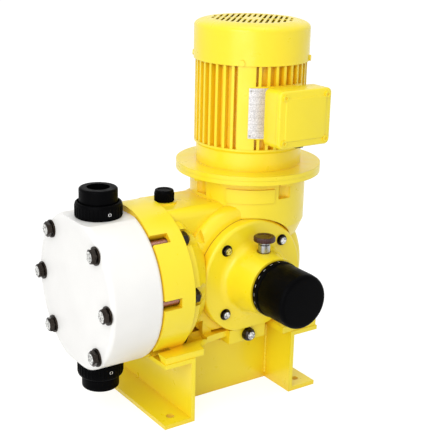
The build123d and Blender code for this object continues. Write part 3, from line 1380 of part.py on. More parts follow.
def entry_plug():
    """Blanking plug in the cable entry under the terminal box."""
    plug = rod(ENTRY_R, BOX_WALL + ENTRY_PLUG_TIP) + Pos(0, 0, -ENTRY_PLUG) * extrude(
        RegularPolygon(ENTRY_PLUG_R, 6), ENTRY_PLUG
    )
    return Pos(MOTOR_X, -ENTRY_Y, BOX_BOTTOM_Z) * plug


# ---------------------------------------------------------------- oil fittings and the neck's door
def oil_cap():
    """Filler and breather plug with a domed grip."""
    cap = rod(OIL_CAP_R, OIL_CAP_HEIGHT)
    cap = fillet(cap.edges().group_by(Axis.Z)[-1], OIL_CAP_EDGE_R)
    cap += Pos(0, 0, -OIL_CAP_SPIGOT) * rod(OIL_HOLE_R, OIL_CAP_SPIGOT)
    return Pos(OIL_CAP_X, 0, DRUM_TOP_Z + OIL_BOSS) * cap


def drain_plug():
    """Hexagon plug with a flange, in the boss at the bottom of the housing."""
    plug = rod(DRAIN_PLUG_R, DRAIN_PLUG_FLANGE)
    hexagon = RegularPolygon(DRAIN_PLUG_FLATS / 2, 6, major_radius=False)
    plug += Pos(0, 0, DRAIN_PLUG_FLANGE) * extrude(hexagon, DRAIN_PLUG_HEX)
    plug = fillet(plug.edges().group_by(Axis.Z)[-1], DRAIN_PLUG_EDGE_R)
    plug += Pos(0, 0, -DRAIN_PLUG_THREAD) * rod(DRAIN_THREAD_R, DRAIN_PLUG_THREAD)
    return toward_knob(plug, DRAIN_BOSS_FRONT, DRAIN_X, DRAIN_Z)


def coupling_door():
    """Curved door over the coupling window on the front of the neck."""
    door = tube(NECK_R + COUPLING_DOOR, NECK_R + LOOSE, COUPLING_DOOR_HEIGHT)
    door = sector(door, COUPLING_DOOR_START_ANGLE, COUPLING_DOOR_END_ANGLE, COUPLING_DOOR_HEIGHT)
    return upright(door, COUPLING_DOOR_BOTTOM_Z)


# ---------------------------------------------------------------- the assembly
def pieces():
    return {
        "stand_frame": stand_frame(),
        "stand_bolts": stand_bolts(),
        "gear_housing": gear_housing(),
        "gear_cover": gear_cover(),
        "gear_cover_gasket": toward_knob(cover_gasket(), DRUM_HALF) - drain_clearance(),
        "gear_cover_screws": cover_screws(toward_knob),
        "rear_cover": rear_cover(),
        "rear_cover_gasket": away_from_knob(cover_gasket(), DRUM_HALF),
        "rear_cover_screws": cover_screws(away_from_knob),
        "coupling_door": coupling_door(),
        "oil_cap": oil_cap(),
        "drain_plug": drain_plug(),
        "stroke_knob": stroke_knob(),
        "adjuster_sleeve": adjuster_sleeve(),
        "sleeve_retainer": sleeve_retainer(),
        "adjuster_spindle": adjuster_spindle(),
        "stroke_lock": stroke_lock(),
        "worm_shaft": worm_shaft(),
        "worm_bearings": worm_bearings(),
        "worm_wheel": worm_wheel(),
        "crank_shaft": crank_shaft(),
        "crank_bearings": crank_bearings(),
        "shaft_coupling": shaft_coupling(),
        "plunger": plunger(),
        "guide_bush": guide_bush(),
        "backing_disc": backing_disc(),
        "diaphragm": diaphragm(),
        "diaphragm_rim": diaphragm_rim(),
        "pump_head": pump_head(),
        "head_bolts": head_bolts(),
        "head_washers": head_washers(),
        "head_nuts": head_nuts(),
        "discharge_port": valve_port(1),
        "discharge_union_nut": union_nut(1),
        "discharge_seat": valve_seat(1),
        "discharge_ball": valve_ball(1),
        "discharge_cage": valve_cage(1),
        "suction_port": valve_port(-1),
        "suction_union_nut": union_nut(-1),
        "suction_seat": valve_seat(-1),
        "suction_ball": valve_ball(-1),
        "suction_cage": valve_cage(-1),
        "drive_end_shield": drive_end_shield(),
        "flange_bolts": flange_bolts(),
        "motor_frame": motor_frame(),
        "stator_core": stator_core(),
        "stator_windings": stator_windings(),
        "motor_shaft": motor_shaft(),
        "rotor_core": rotor_core(),
        "motor_bearings": motor_bearings(),
        "rear_shield": rear_shield(),
        "cooling_fan": cooling_fan(),
        "fan_cowl": fan_cowl(),
        "cowl_screws": cowl_screws(),
        "nameplate": nameplate(),
        "terminal_box": terminal_box(),
        "terminal_box_lid": terminal_box_lid(),
        "lid_screws": lid_screws(),
        "terminal_block": terminal_block(),
        "entry_plug": entry_plug(),
    }


if __name__ == "__main__":
    os.makedirs("parts", exist_ok=True)
    for name, shapes in pieces().items():
        save(name, shapes)
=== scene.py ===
"""Finishes for a diaphragm metering pump: paint, plastics, metals, fasteners, trim and a studio stage.

Metres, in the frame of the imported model. Z is up, the pump head faces -X and the stroke knob -Y.
"""
import itertools
import math

import bmesh
import bpy
from mathutils import Matrix, Vector


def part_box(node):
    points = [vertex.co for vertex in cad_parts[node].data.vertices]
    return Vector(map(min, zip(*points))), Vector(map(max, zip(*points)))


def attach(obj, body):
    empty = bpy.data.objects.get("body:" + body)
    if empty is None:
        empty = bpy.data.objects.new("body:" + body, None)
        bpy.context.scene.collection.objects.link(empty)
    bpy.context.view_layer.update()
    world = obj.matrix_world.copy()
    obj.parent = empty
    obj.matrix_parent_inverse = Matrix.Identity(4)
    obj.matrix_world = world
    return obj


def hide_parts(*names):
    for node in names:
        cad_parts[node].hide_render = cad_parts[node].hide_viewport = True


bl_info = {
    "name": "Diaphragm metering pump finish",
    "version": (1, 0, 0),
    "blender": (4, 5, 0),
    "location": "3D View > Sidebar > Pump",
    "description": "Paint, plastics, metals, fasteners and trim of a diaphragm metering pump",
    "category": "Object",
}

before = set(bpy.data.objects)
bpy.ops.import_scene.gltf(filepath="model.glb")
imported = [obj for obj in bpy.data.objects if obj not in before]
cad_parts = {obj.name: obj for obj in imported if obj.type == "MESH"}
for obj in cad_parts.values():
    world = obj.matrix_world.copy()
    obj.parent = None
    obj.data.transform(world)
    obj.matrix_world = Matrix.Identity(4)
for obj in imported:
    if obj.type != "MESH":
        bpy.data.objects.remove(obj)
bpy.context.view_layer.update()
MM = 0.001
SHARP = math.radians(34)


def centre_of(node):
    low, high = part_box(node)
    return (low + high) / 2


def span(node, axis):
    low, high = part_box(node)
    return low[axis], high[axis]


PUMP_AXIS = centre_of("pump_head")
GEAR_AXIS = centre_of("stroke_knob")
MOTOR_AXIS = centre_of("motor_shaft")
HEAD_FACE_X = span("pump_head", 0)[0]
REAR_WASHER = 2 * MM
RING_BACK_X = span("head_nuts", 0)[0] - REAR_WASHER
COVER_FACE_Y = -75.8 * MM
REAR_FACE_Y = -COVER_FACE_Y


def linear(red, green, blue):
    """A colour in scene values, from 0-255 display values."""
    def channel(value):
        value /= 255
        return value / 12.92 if value <= 0.04045 else ((value + 0.055) / 1.055) ** 2.4
    return channel(red), channel(green), channel(blue)


# ---------------------------------------------------------------- sizes and colours a user may change
def colour_setting(name, description, shade):
    return bpy.props.FloatVectorProperty(
        name=name, description=description, subtype="COLOR", size=3, min=0, max=1, default=linear(*shade)
    )


def length_setting(name, description, millimetres):
    return bpy.props.FloatProperty(
        name=name, description=description, subtype="DISTANCE", unit="LENGTH", min=0,
        precision=5, default=millimetres * MM,
    )


def count_setting(name, description, count):
    return bpy.props.IntProperty(name=name, description=description, min=1, default=count)


def plain_setting(name, description, value):
    return bpy.props.FloatProperty(name=name, description=description, min=0, default=value)


def angle_setting(name, description, degrees):
    return bpy.props.FloatProperty(
        name=name, description=description, subtype="ANGLE", unit="ROTATION", default=math.radians(degrees)
    )


class PumpColours(bpy.types.PropertyGroup):
    enamel: colour_setting("Enamel", "Yellow enamel on the castings, motor and stand", (254, 231, 36))
    # Painted shade: a deeper yellow that the enamel takes in its recesses and creases, by their ambient
    # occlusion, for the shade that falls there.
    enamel_painted_shade: colour_setting(
        "Enamel in recesses", "Deeper yellow where the enamel lies thick in a recess", (246, 194, 18)
    )
    head_plastic: colour_setting("Head plastic", "White plastic of the pump head", (247, 246, 243))
    black_plastic: colour_setting("Black plastic", "Moulded black plastic of knob, ports and caps", (3, 3, 4))
    lock_plastic: colour_setting("Lock plastic", "Dark red-brown plastic of the lock knob", (58, 18, 12))
    # Painted highlight: the lit copy of the fasteners' steel, on their crowns.
    steel: colour_setting("Stainless steel", "Crowns of the fasteners", (236, 236, 232))
    # Painted shade and painted dark reflection: the dark copy of the fasteners' steel, on their sides and
    # washers.
    dark_steel: colour_setting("Dark steel", "Sides and washers of the fasteners", (50, 43, 37))
    # Painted reflection and shade: a warm brown on the steel studs for the yellow they reflect and the shade
    # they lie in.
    stud_steel: colour_setting("Stud steel", "Warm brown of the head bolts' threaded studs", (176, 128, 114))
    plate: colour_setting("Nameplate", "Bare metal of the nameplate", (240, 239, 242))
    marking: colour_setting("Markings", "White paint of the scale marks", (238, 238, 234))


class PumpFasteners(bpy.types.PropertyGroup):
    circle: length_setting("Bolt circle radius", "Radius of the pump head's bolt circle", 92)
    flats: length_setting("Head across flats", "Width of the head bolts across their flats", 18)
    head: length_setting("Head height", "Height of a head bolt's head", 7.5)
    stud: length_setting("Stud diameter", "Thread diameter of the head bolts", 12)
    stud_turns: count_setting("Stud turns", "Turns of thread along a head bolt", 72)
    washer: length_setting("Washer diameter", "Outside diameter of the head washers", 24)
    washer_height: length_setting("Washer height", "Thickness of the head washers", 2)
    nut: length_setting("Nut height", "Height of the nuts behind the ring", 10)
    angle: angle_setting("Bolt angle", "Angle of the slanting bolts above and below the level pair", 47.5)
    cover_circle: length_setting("Cover screw circle", "Radius of the cover screws' circle", 64)
    cover_screw: length_setting("Cover screw head", "Width of a cover screw's head", 11.5)
    cover_screw_height: length_setting("Cover screw height", "Height of a cover screw's head", 5)
    cover_washer: length_setting("Cover washer diameter", "Outside diameter of a cover screw's washer", 15.5)
    cover_washer_height: length_setting("Cover washer height", "Thickness of the cover screws' washers", 1.2)


class PumpKnob(bpy.types.PropertyGroup):
    flutes: count_setting("Flutes", "Grip flutes round the stroke knob", 48)
    flute_depth: length_setting("Flute depth", "Depth of a grip flute", 0.12)
    marks: count_setting("Scale marks", "Scale marks round the knob's skirt", 20)
    mark_length: length_setting("Mark length", "Length of a scale mark", 4.4)
    mark_width: length_setting("Mark width", "Width of a scale mark", 0.6)
    knurls: count_setting("Lock knurls", "Knurls round the lock knob", 36)
    knurl_depth: length_setting("Knurl depth", "Depth of a knurl on the lock knob", 0.45)


class PumpTrim(bpy.types.PropertyGroup):
    cap_ribs: count_setting("Cap ribs", "Grip ribs round the oil cap", 24)
    nut_ribs: count_setting("Union nut ribs", "Grip ribs round each union nut", 36)
    nut_mark: length_setting("Nut mark radius", "Radius of the painted ring on each union nut", 1.9)
    rivet: length_setting("Rivet diameter", "Head of a nameplate rivet", 3)
    weld: length_setting("Weld radius", "Radius of the stand's weld beads", 2.2)


class PumpStage(bpy.types.PropertyGroup):
    camera_place: bpy.props.FloatVectorProperty(
        name="Camera place", description="Where the camera stands", subtype="TRANSLATION", unit="LENGTH",
        size=3, default=(-0.73147, -1.08251, 0.65829),
    )
    camera_turn: angle_setting("Camera bearing", "Bearing of the camera round the pump", -34.64)
    camera_rise: angle_setting("Camera elevation", "Angle of the camera above the horizon", 17.51)
    camera_roll: angle_setting("Camera roll", "Tilt of the camera about its own axis", 1.41)
    lens: plain_setting("Lens", "Focal length in millimetres on a 36 mm sensor", 82.94)
    sky: plain_setting("Room light", "Strength of the even light of the room", 0.72)
    key: plain_setting("Key light", "Power in watts of the high lamp on the camera's left", 6.5)
    top: plain_setting("Top light", "Power in watts of the lamp overhead", 3.0)
    fill: plain_setting("Fill light", "Power in watts of the low lamp beside the camera", 6.0)


GROUPS = {
    "pump_colours": PumpColours,
    "pump_fasteners": PumpFasteners,
    "pump_knob": PumpKnob,
    "pump_trim": PumpTrim,
    "pump_stage": PumpStage,
}


def new_object(name, data):
    obj = bpy.data.objects.new(name, data)
    bpy.context.scene.collection.objects.link(obj)
    return obj


def cleared_tree(owner):
    """The empty node tree of a material or a world."""
    owner.use_nodes = True
    owner.node_tree.nodes.clear()
    return owner.node_tree


# ---------------------------------------------------------------- node tools for materials
class Finish:
    """One procedural material that reads object coordinates."""

    def __init__(self, name, roughness, metallic=0.0):
        self.material = bpy.data.materials.new(name)
        self.tree = cleared_tree(self.material)
        output = self.tree.nodes.new("ShaderNodeOutputMaterial")
        self.shader = self.tree.nodes.new("ShaderNodeBsdfPrincipled")
        self.tree.links.new(self.shader.outputs["BSDF"], output.inputs["Surface"])
        self.shader.inputs["Roughness"].default_value = roughness
        self.shader.inputs["Metallic"].default_value = metallic
        coordinates = self.tree.nodes.new("ShaderNodeTexCoord")
        self.place = coordinates.outputs["Object"]
        self.normal = coordinates.outputs["Normal"]

    def node(self, kind, inputs=(), **settings):
        """A new node with its settings, and with a value or link for each input that is given."""
        node = self.tree.nodes.new(kind)
        for key, value in settings.items():
            setattr(node, key, value)
        for key, value in dict(inputs).items():
            self.feed(node.inputs[key], value)
        return node

    def feed(self, socket, value):
        if isinstance(value, bpy.types.NodeSocket):
            self.tree.links.new(value, socket)
        elif hasattr(value, "__len__") and len(value) == 3 and socket.type == "RGBA":
            socket.default_value = (*value, 1)
        else:
            socket.default_value = value

    def stretched(self, scale, centre=(0, 0, 0)):
        """Object coordinates, moved to a centre and scaled by axis."""
        shift = [-c * s for c, s in zip(centre, scale)]
        mapping = self.node("ShaderNodeMapping", {"Vector": self.place, "Location": shift, "Scale": scale})
        return mapping.outputs["Vector"]

    def noise(self, scale, detail, roughness=0.5, place=None):
        inputs = {"Vector": place or self.place, "Scale": scale, "Detail": detail, "Roughness": roughness}
        return self.node("ShaderNodeTexNoise", inputs).outputs["Fac"]

    def specks(self, scale):
        return self.node("ShaderNodeTexVoronoi", {"Vector": self.place, "Scale": scale}).outputs["Distance"]

    def rings(self, scale, place):
        inputs = {"Vector": place, "Scale": scale, "Distortion": 0.6}
        return self.node("ShaderNodeTexWave", inputs, wave_type="RINGS", rings_direction="X").outputs["Fac"]

    def bands(self, scale, axis="Z"):
        inputs = {"Vector": self.place, "Scale": scale}
        return self.node("ShaderNodeTexWave", inputs, wave_type="BANDS", bands_direction=axis).outputs["Fac"]

    def level(self, value, low, high, start=0.3, end=0.7):
        inputs = {"Value": value, "From Min": start, "From Max": end, "To Min": low, "To Max": high}
        return self.node("ShaderNodeMapRange", inputs, clamp=True).outputs["Result"]

    def tint(self, factor, first, second):
        node = self.node("ShaderNodeMix", {0: factor, 6: first, 7: second}, data_type="RGBA")
        return node.outputs[2]

    def recess(self, reach, start, end):
        """0 deep in a recess, 1 on an open face, by ambient occlusion; it masks painted shade."""
        node = self.node("ShaderNodeAmbientOcclusion", {"Distance": reach}, samples=6)
        return self.level(node.outputs["AO"], 0.0, 1.0, start, end)

    def eased_edges(self, radius):
        return self.node("ShaderNodeBevel", {"Radius": radius}, samples=4).outputs["Normal"]

    def crown(self, axis, start, end):
        """1 on faces square to an axis, 0 on the sides round it; it splits painted highlight from painted
        shade.
        """
        split = self.node("ShaderNodeSeparateXYZ", {0: self.normal})
        size = self.node("ShaderNodeMath", {0: split.outputs[axis]}, operation="ABSOLUTE")
        return self.level(size.outputs[0], 0.0, 1.0, start, end)

    def relief(self, height, depth, strength, normal=None):
        inputs = {"Strength": strength, "Distance": depth, "Height": height}
        if normal:
            inputs["Normal"] = normal
        return self.node("ShaderNodeBump", inputs).outputs["Normal"]

    def set(self, **inputs):
        """Sets the shader's inputs and returns the finished material."""
        for key, value in inputs.items():
            self.feed(self.shader.inputs[key.replace("_", " ")], value)
        return self.material

    def two_tone(self, pattern, dark, light, depth, strength):
        """Colour and relief that follow one pattern; depth in millimetres."""
        base = self.tint(pattern, linear(*dark), linear(*light))
        return self.set(Base_Color=base, Normal=self.relief(pattern, depth * MM, strength))


def colour(name):
    return tuple(getattr(bpy.context.scene.pump_colours, name))


def scaled(shade, factor):
    return tuple(min(1.0, channel * factor) for channel in shade)


def enamel(name, cast=True, edge=1.2 * MM):
    """Glossy yellow enamel, with painted shade in its recesses; sand-textured on castings, smoother on sheet.
    """
    paint = colour("enamel")
    finish = Finish(name, roughness=0.34)
    patches = finish.level(finish.noise(16, 4), 0, 1)
    base = finish.tint(patches, scaled(paint, 0.97), paint)
    # Painted shade: recesses and creases take the deeper yellow by their ambient occlusion.
    base = finish.tint(finish.recess(30 * MM, 0.08, 0.72), colour("enamel_painted_shade"), base)
    peel = finish.noise(520, 2)
    normal = finish.relief(peel, 0.10 * MM, 0.35, finish.eased_edges(edge))
    if cast:
        normal = finish.relief(finish.noise(95, 3), 0.55 * MM, 0.35, normal)
    rough = finish.level(finish.noise(60, 3), 0.27, 0.42)
    return finish.set(Base_Color=base, Roughness=rough, Normal=normal, Coat_Weight=0.2, Coat_Roughness=0.2)


def head_plastic():
    """Turned white plastic with faint tool rings about the pump axis, and painted shade in its recesses."""
    shade = colour("head_plastic")
    finish = Finish("turned_white_plastic", roughness=0.38)
    about_axis = finish.stretched((0.0, 1.0, 1.0), PUMP_AXIS)
    base = finish.tint(finish.level(finish.noise(22, 3), 0, 1), scaled(shade, 0.96), shade)
    # Painted shade: recesses darken to 0.8 of the white by ambient occlusion.
    base = finish.tint(finish.recess(10 * MM, 0.3, 0.9), scaled(shade, 0.8), base)
    normal = finish.relief(finish.rings(420, about_axis), 0.03 * MM, 0.3, finish.eased_edges(0.8 * MM))
    normal = finish.relief(finish.noise(1400, 2), 0.02 * MM, 0.25, normal)
    return finish.set(
        Base_Color=base, Roughness=finish.level(finish.noise(40, 2), 0.33, 0.45), Normal=normal,
        Subsurface_Weight=0.08, Subsurface_Radius=(4 * MM, 4 * MM, 4 * MM),
    )


def moulded(name, shade, roughness, gloss=0.5):
    """Moulded plastic with a fine spark-eroded grain."""
    finish = Finish(name, roughness=roughness)
    base = finish.tint(finish.level(finish.noise(70, 3), 0, 1), scaled(shade, 0.8), scaled(shade, 1.25))
    normal = finish.relief(finish.noise(1500, 2), 0.04 * MM, 0.4, finish.eased_edges(0.6 * MM))
    return finish.set(
        Base_Color=base, Normal=normal, Specular_IOR_Level=gloss,
        Roughness=finish.level(finish.noise(110, 3), roughness - 0.05, roughness + 0.09),
    )


def fastener_metal(name, axis):
    """Pale crowns square to the fastener's axis, mottled at random, as a painted highlight, over sides dark
    with painted shade and painted reflection.
    """
    finish = Finish(name, roughness=0.26, metallic=1.0)
    grain = finish.noise(380, 3, 0.6)
    steel, shade = colour("steel"), colour("dark_steel")
    # Painted highlight on the crowns and painted shade with painted dark reflection on the sides, split by
    # the surface's facing.
    painted_highlight = finish.tint(finish.level(grain, 0, 1, 0.4, 0.6), scaled(steel, 0.24), steel)
    dark = finish.tint(finish.level(finish.noise(150, 2), 0, 1), scaled(shade, 0.5), shade)
    base = finish.tint(finish.crown(axis, 0.9, 0.985), dark, painted_highlight)
    return finish.set(
        Base_Color=base, Roughness=finish.level(grain, 0.2, 0.34), Coat_Weight=0.3, Coat_Roughness=0.1,
        Normal=finish.relief(grain, 0.02 * MM, 0.35, finish.eased_edges(0.35 * MM)),
    )


def metal(name, shade, roughness, grain=(1, 1, 1), depth=0.02):
    """Metal with a grain drawn out along one axis, light wear in its gloss and painted shade in its recesses.
    """
    finish = Finish(name, roughness=roughness, metallic=1.0)
    along = finish.stretched(grain)
    streaks = finish.noise(420, 3, 0.6, along)
    base = finish.tint(finish.level(finish.noise(60, 3), 0, 1), scaled(shade, 0.82), shade)
    # Painted shade: recesses darken to about a third of the metal's colour by ambient occlusion.
    base = finish.tint(finish.recess(4 * MM, 0.2, 0.8), scaled(shade, 0.35), base)
    return finish.set(
        Base_Color=base, Roughness=finish.level(streaks, roughness - 0.06, roughness + 0.1),
        Normal=finish.relief(streaks, depth * MM, 0.35, finish.eased_edges(0.4 * MM)),
    )


def laminated():
    """Stack of thin sheets, seen as fine level lines."""
    finish = Finish("motor_laminations", roughness=0.45, metallic=0.9)
    return finish.two_tone(finish.bands(320), (70, 72, 76), (148, 150, 154), 0.12, 0.6)


def wound_copper():
    """Turns of enamelled wire, side by side."""
    finish = Finish("wound_copper", roughness=0.32, metallic=0.9)
    return finish.two_tone(finish.bands(430, "DIAGONAL"), (96, 36, 14), (206, 112, 62), 0.3, 0.8)


def gasket_sheet():
    """Fibre gasket, stained by the enamel."""
    finish = Finish("gasket_sheet", roughness=0.8)
    return finish.two_tone(finish.noise(900, 4, 0.7), (118, 84, 22), (168, 128, 40), 0.08, 0.5)


def diaphragm_sheet():
    """White fluoroplastic face with a fine weave under it."""
    finish = Finish("diaphragm_sheet", roughness=0.42)
    return finish.two_tone(finish.specks(260), (208, 206, 200), (236, 235, 230), 0.1, 0.3)


def plate_metal():
    """Bare plate with blank ruled fields between fine lines."""
    shade = colour("plate")
    finish = Finish("nameplate_metal", roughness=0.4, metallic=0.35)
    brushed = finish.noise(300, 3, 0.6, finish.stretched((1, 1, 14)))
    ruled = finish.level(finish.bands(36), 0.55, 0, 0.02, 0.05)
    mottled = finish.level(finish.noise(620, 3, 0.7), 0, 1, 0.42, 0.66)
    base = finish.tint(finish.level(brushed, 0, 1), scaled(shade, 0.88), shade)
    base = finish.tint(mottled, base, scaled(shade, 0.55))
    base = finish.tint(ruled, base, scaled(shade, 0.55))
    return finish.set(Base_Color=base, Normal=finish.relief(brushed, 0.02 * MM, 0.3))


FINISHES = {}


def finish_named(name):
    """Makes each finish once, from the colours set in the scene."""
    if name not in FINISHES:
        makers = {
            "cast_enamel": lambda: enamel("cast_enamel"),
            "sheet_enamel": lambda: enamel("sheet_enamel", cast=False, edge=0.7 * MM),
            "head": head_plastic,
            "painted": lambda: enamel("painted_screws", cast=False, edge=0.4 * MM),
            "black": lambda: moulded("black_moulding", colour("black_plastic"), 0.42, gloss=0.03),
            "lock": lambda: moulded("lock_moulding", colour("lock_plastic"), 0.3),
            # Painted highlight on crowns and painted shade on sides, from fastener_metal.
            "head_steel": lambda: fastener_metal("head_fasteners", 0),
            "cover_steel": lambda: fastener_metal("cover_fasteners", 1),
            # Painted shade: washers in the dark copy of the steel.
            "dark_steel": lambda: metal("dark_steel", colour("dark_steel"), 0.3),
            # Painted reflection and shade: studs in a warm brown.
            "stud_steel": lambda: metal("stud_steel", colour("stud_steel"), 0.26),
            "machined": lambda: metal("machined_steel", linear(176, 178, 180), 0.3, (1, 8, 1)),
            "chrome": lambda: metal("plated_steel", linear(222, 224, 226), 0.1, depth=0.005),
            # Painted highlight on its crown and painted shade on its sides, from fastener_metal.
            "plug": lambda: fastener_metal("plated_plug", 1),
            "bronze": lambda: metal("gear_bronze", linear(186, 132, 74), 0.33),
            "brass": lambda: metal("sleeve_brass", linear(206, 170, 92), 0.28, (1, 10, 1)),
            "aluminium": lambda: metal("turned_aluminium", linear(196, 198, 200), 0.34),
            "laminations": laminated,
            "copper": wound_copper,
            "gasket": gasket_sheet,
            "diaphragm": diaphragm_sheet,
            "plate": plate_metal,
            "marking": lambda: moulded("scale_paint", colour("marking"), 0.5),
        }
        FINISHES[name] = makers[name]()
    return FINISHES[name]


def dress(nodes, finish_name):
    """Gives CAD nodes a finish; their shapes stay."""
    material = finish_named(finish_name)
    for name in nodes:
        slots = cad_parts[name].data.materials
        slots.clear()
        slots.append(material)


# ---------------------------------------------------------------- mesh tools
def facing(direction, place, spin=0.0):
    """Stands local Z along a direction at a place, turned about it by spin."""
    turn = Vector(direction).to_track_quat("Z", "Y").to_matrix().to_4x4()
    return Matrix.Translation(place) @ turn @ Matrix.Rotation(spin, 4, "Z")


def eased(outline, radii, steps):
    """Rounds the corners of an open (r, z) outline; radii maps a point's index to its radius."""
    points = []
    for i, point in enumerate(outline):
        here = Vector(point)
        if i not in radii:
            points.append(tuple(here))
            continue
        before = Vector(outline[i - 1]) - here
        after = Vector(outline[(i + 1) % len(outline)]) - here
        start = here + before.normalized() * radii[i]
        end = here + after.normalized() * radii[i]
        for k in range(steps + 1):
            t = k / steps
            points.append(tuple(start * (1 - t) ** 2 + here * (2 * t * (1 - t)) + end * t ** 2))
    return points


def bridged(bm, rings, closed):
    """Faces between rings of equal count; a ring of one vertex is a pole."""
    pairs = list(zip(rings, rings[1:]))
    if closed:
        pairs.append((rings[-1], rings[0]))
    for first, second in pairs:
        count = max(len(first), len(second))
        for i in range(count if count > 1 else 0):
            j = (i + 1) % count
            if len(first) == 1:
                bm.faces.new((first[0], second[j], second[i]))
            elif len(second) == 1:
                bm.faces.new((first[i], first[j], second[0]))
            else:
                bm.faces.new((first[i], first[j], second[j], second[i]))


def mesh_of(bm, name, sharp=SHARP):
    """A closed mesh with outward faces, smooth but for its sharp edges."""
    bmesh.ops.remove_doubles(bm, verts=bm.verts, dist=1e-7)
    bmesh.ops.recalc_face_normals(bm, faces=bm.faces)
    for face in bm.faces:
        face.smooth = True
    for edge in bm.edges:
        edge.smooth = len(edge.link_faces) == 2 and edge.calc_face_angle(0.0) < sharp
    mesh = bpy.data.meshes.new(name)
    bm.to_mesh(mesh)
    bm.free()
    return mesh


def lathe(name, outline, place=Matrix.Identity(4), segments=64, shape=None, sharp=SHARP):
    """Turns an (r, z) outline about local Z; shape(angle, r, z, index) may move a point of a ring."""
    bm = bmesh.new()
    rings = []
    for index, (r, z) in enumerate(outline):
        if r < 1e-7:
            rings.append([bm.verts.new(place @ Vector((0, 0, z)))])
            continue
        ring = []
        for i in range(segments):
            angle = 2 * math.pi * i / segments
            radius, height = shape(angle, r, z, index) if shape else (r, z)
            corner = Vector((radius * math.cos(angle), radius * math.sin(angle), height))
            ring.append(bm.verts.new(place @ corner))
        rings.append(ring)
    bridged(bm, rings, closed=outline[0][0] > 1e-7)
    return mesh_of(bm, name, sharp)


def plate(name, width, height, corner, levels, place, steps=6):
    """A rounded rectangular body; levels lists (inset, z) from its back face to its front."""
    bm = bmesh.new()
    rings = []
    for inset, z in levels:
        radius = max(corner - inset, 0.2 * MM)
        half_w, half_h = width / 2 - inset - radius, height / 2 - inset - radius
        ring = []
        for quarter, (sx, sy) in enumerate([(1, 1), (-1, 1), (-1, -1), (1, -1)]):
            for k in range(steps + 1):
                angle = math.pi / 2 * (quarter + k / steps)
                x = sx * half_w + radius * math.cos(angle)
                y = sy * half_h + radius * math.sin(angle)
                ring.append(bm.verts.new(place @ Vector((x, y, z))))
        rings.append(ring)
    bridged(bm, rings, closed=False)
    bm.faces.new(rings[0])
    bm.faces.new(rings[-1])
    return mesh_of(bm, name)


def settle(mesh, name, body, finish_name, replaced=()):
    """Puts a finished mesh on its body, with its finish and the nodes it stands for."""
    obj = new_object(name, mesh)
    mesh.materials.clear()
    mesh.materials.append(finish_named(finish_name))
    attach(obj, body)
    if replaced:
        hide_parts(*replaced)
    return obj


def joined(name, meshes):
    bm = bmesh.new()
    for mesh in meshes:
        bm.from_mesh(mesh)
    whole = bpy.data.meshes.new(name)
    bm.to_mesh(whole)
    bm.free()
    return whole


# ---------------------------------------------------------------- patterns for repeated pieces
def hexagon_reach(angle, flats):
    return flats / 2 / math.cos((angle + math.pi / 6) % (math.pi / 3) - math.pi / 6)


def hex_head_pattern(bore=0.0):
    """Hexagon of unit width and height with the scalloped chamfer of a turned head."""
    top = 0.4
    slope = 1.6
    sides = (1, 2)
    middle = [(bore + 0.04, 1), (bore, 0.95)] if bore else [(0, 1)]
    outline = [(bore, 0), (0.5, 0), (0.5, 1), (top, 1), *middle]

    def shape(angle, r, z, index):
        if index not in sides:
            return r, z
        reach = hexagon_reach(angle, 1.0)
        return reach, (z if z == 0 else 1 - (reach - top) * slope)
    return lathe("hexagon_pattern", outline, segments=36, shape=shape, sharp=math.radians(18))


def washer_pattern():
    outline = eased([(0.27, 0), (0.5, 0), (0.5, 1), (0.27, 1)], {2: 0.04}, 2)
    return lathe("washer_pattern", outline, segments=36)


def stud_pattern(turns):
    """Threaded rod of unit diameter and height; the crests stand at the diameter."""
    root, crest, threaded = 0.46, 0.5, 0.98
    outline = [(0, 0), (root, 0)]
    for k in range(turns):
        outline.append((crest, (k + 0.35) / turns * threaded))
        outline.append((root, (k + 0.85) / turns * threaded))
    outline += [(0.4, 1), (0, 1)]
    return lathe("stud_pattern", outline, segments=20)


def rivet_pattern():
    outline = [(0, 0), (0.5, 0), (0.46, 0.5), (0.32, 0.85), (0.15, 1), (0, 1.02)]
    return lathe("rivet_pattern", outline, segments=14)


def bar_pattern():
    """Flat bar of unit length, width and height with softened upper edges."""
    return plate("bar_pattern", 1, 1, 0.2, [(0, 0), (0, 0.7), (0.12, 1)], Matrix.Identity(4), steps=2)


# ---------------------------------------------------------------- geometry node trees
def new_tree(name, inputs):
    """A tree with named inputs and one geometry output, and its two end nodes."""
    tree = bpy.data.node_groups.new(name, "GeometryNodeTree")
    for label, kind in inputs.items():
        tree.interface.new_socket(label, in_out="INPUT", socket_type="NodeSocket" + kind)
    tree.interface.new_socket("Geometry", in_out="OUTPUT", socket_type="NodeSocketGeometry")
    return tree, tree.nodes.new("NodeGroupInput"), tree.nodes.new("NodeGroupOutput")


def wire(tree, *links):
    """Links each (source, output, target, input)."""
    for source, output, target, socket in links:
        tree.links.new(source.outputs[output], target.inputs[socket])


def closing_nodes(tree, source, start, end):
    """Realize Instances and Set Material, as every tree here ends."""
    realize = tree.nodes.new("GeometryNodeRealizeInstances")
    painted = tree.nodes.new("GeometryNodeSetMaterial")
    wire(
        tree, (source, 0, realize, "Geometry"), (realize, 0, painted, "Geometry"),
        (start, "Finish", painted, "Material"), (painted, 0, end, "Geometry"),
    )


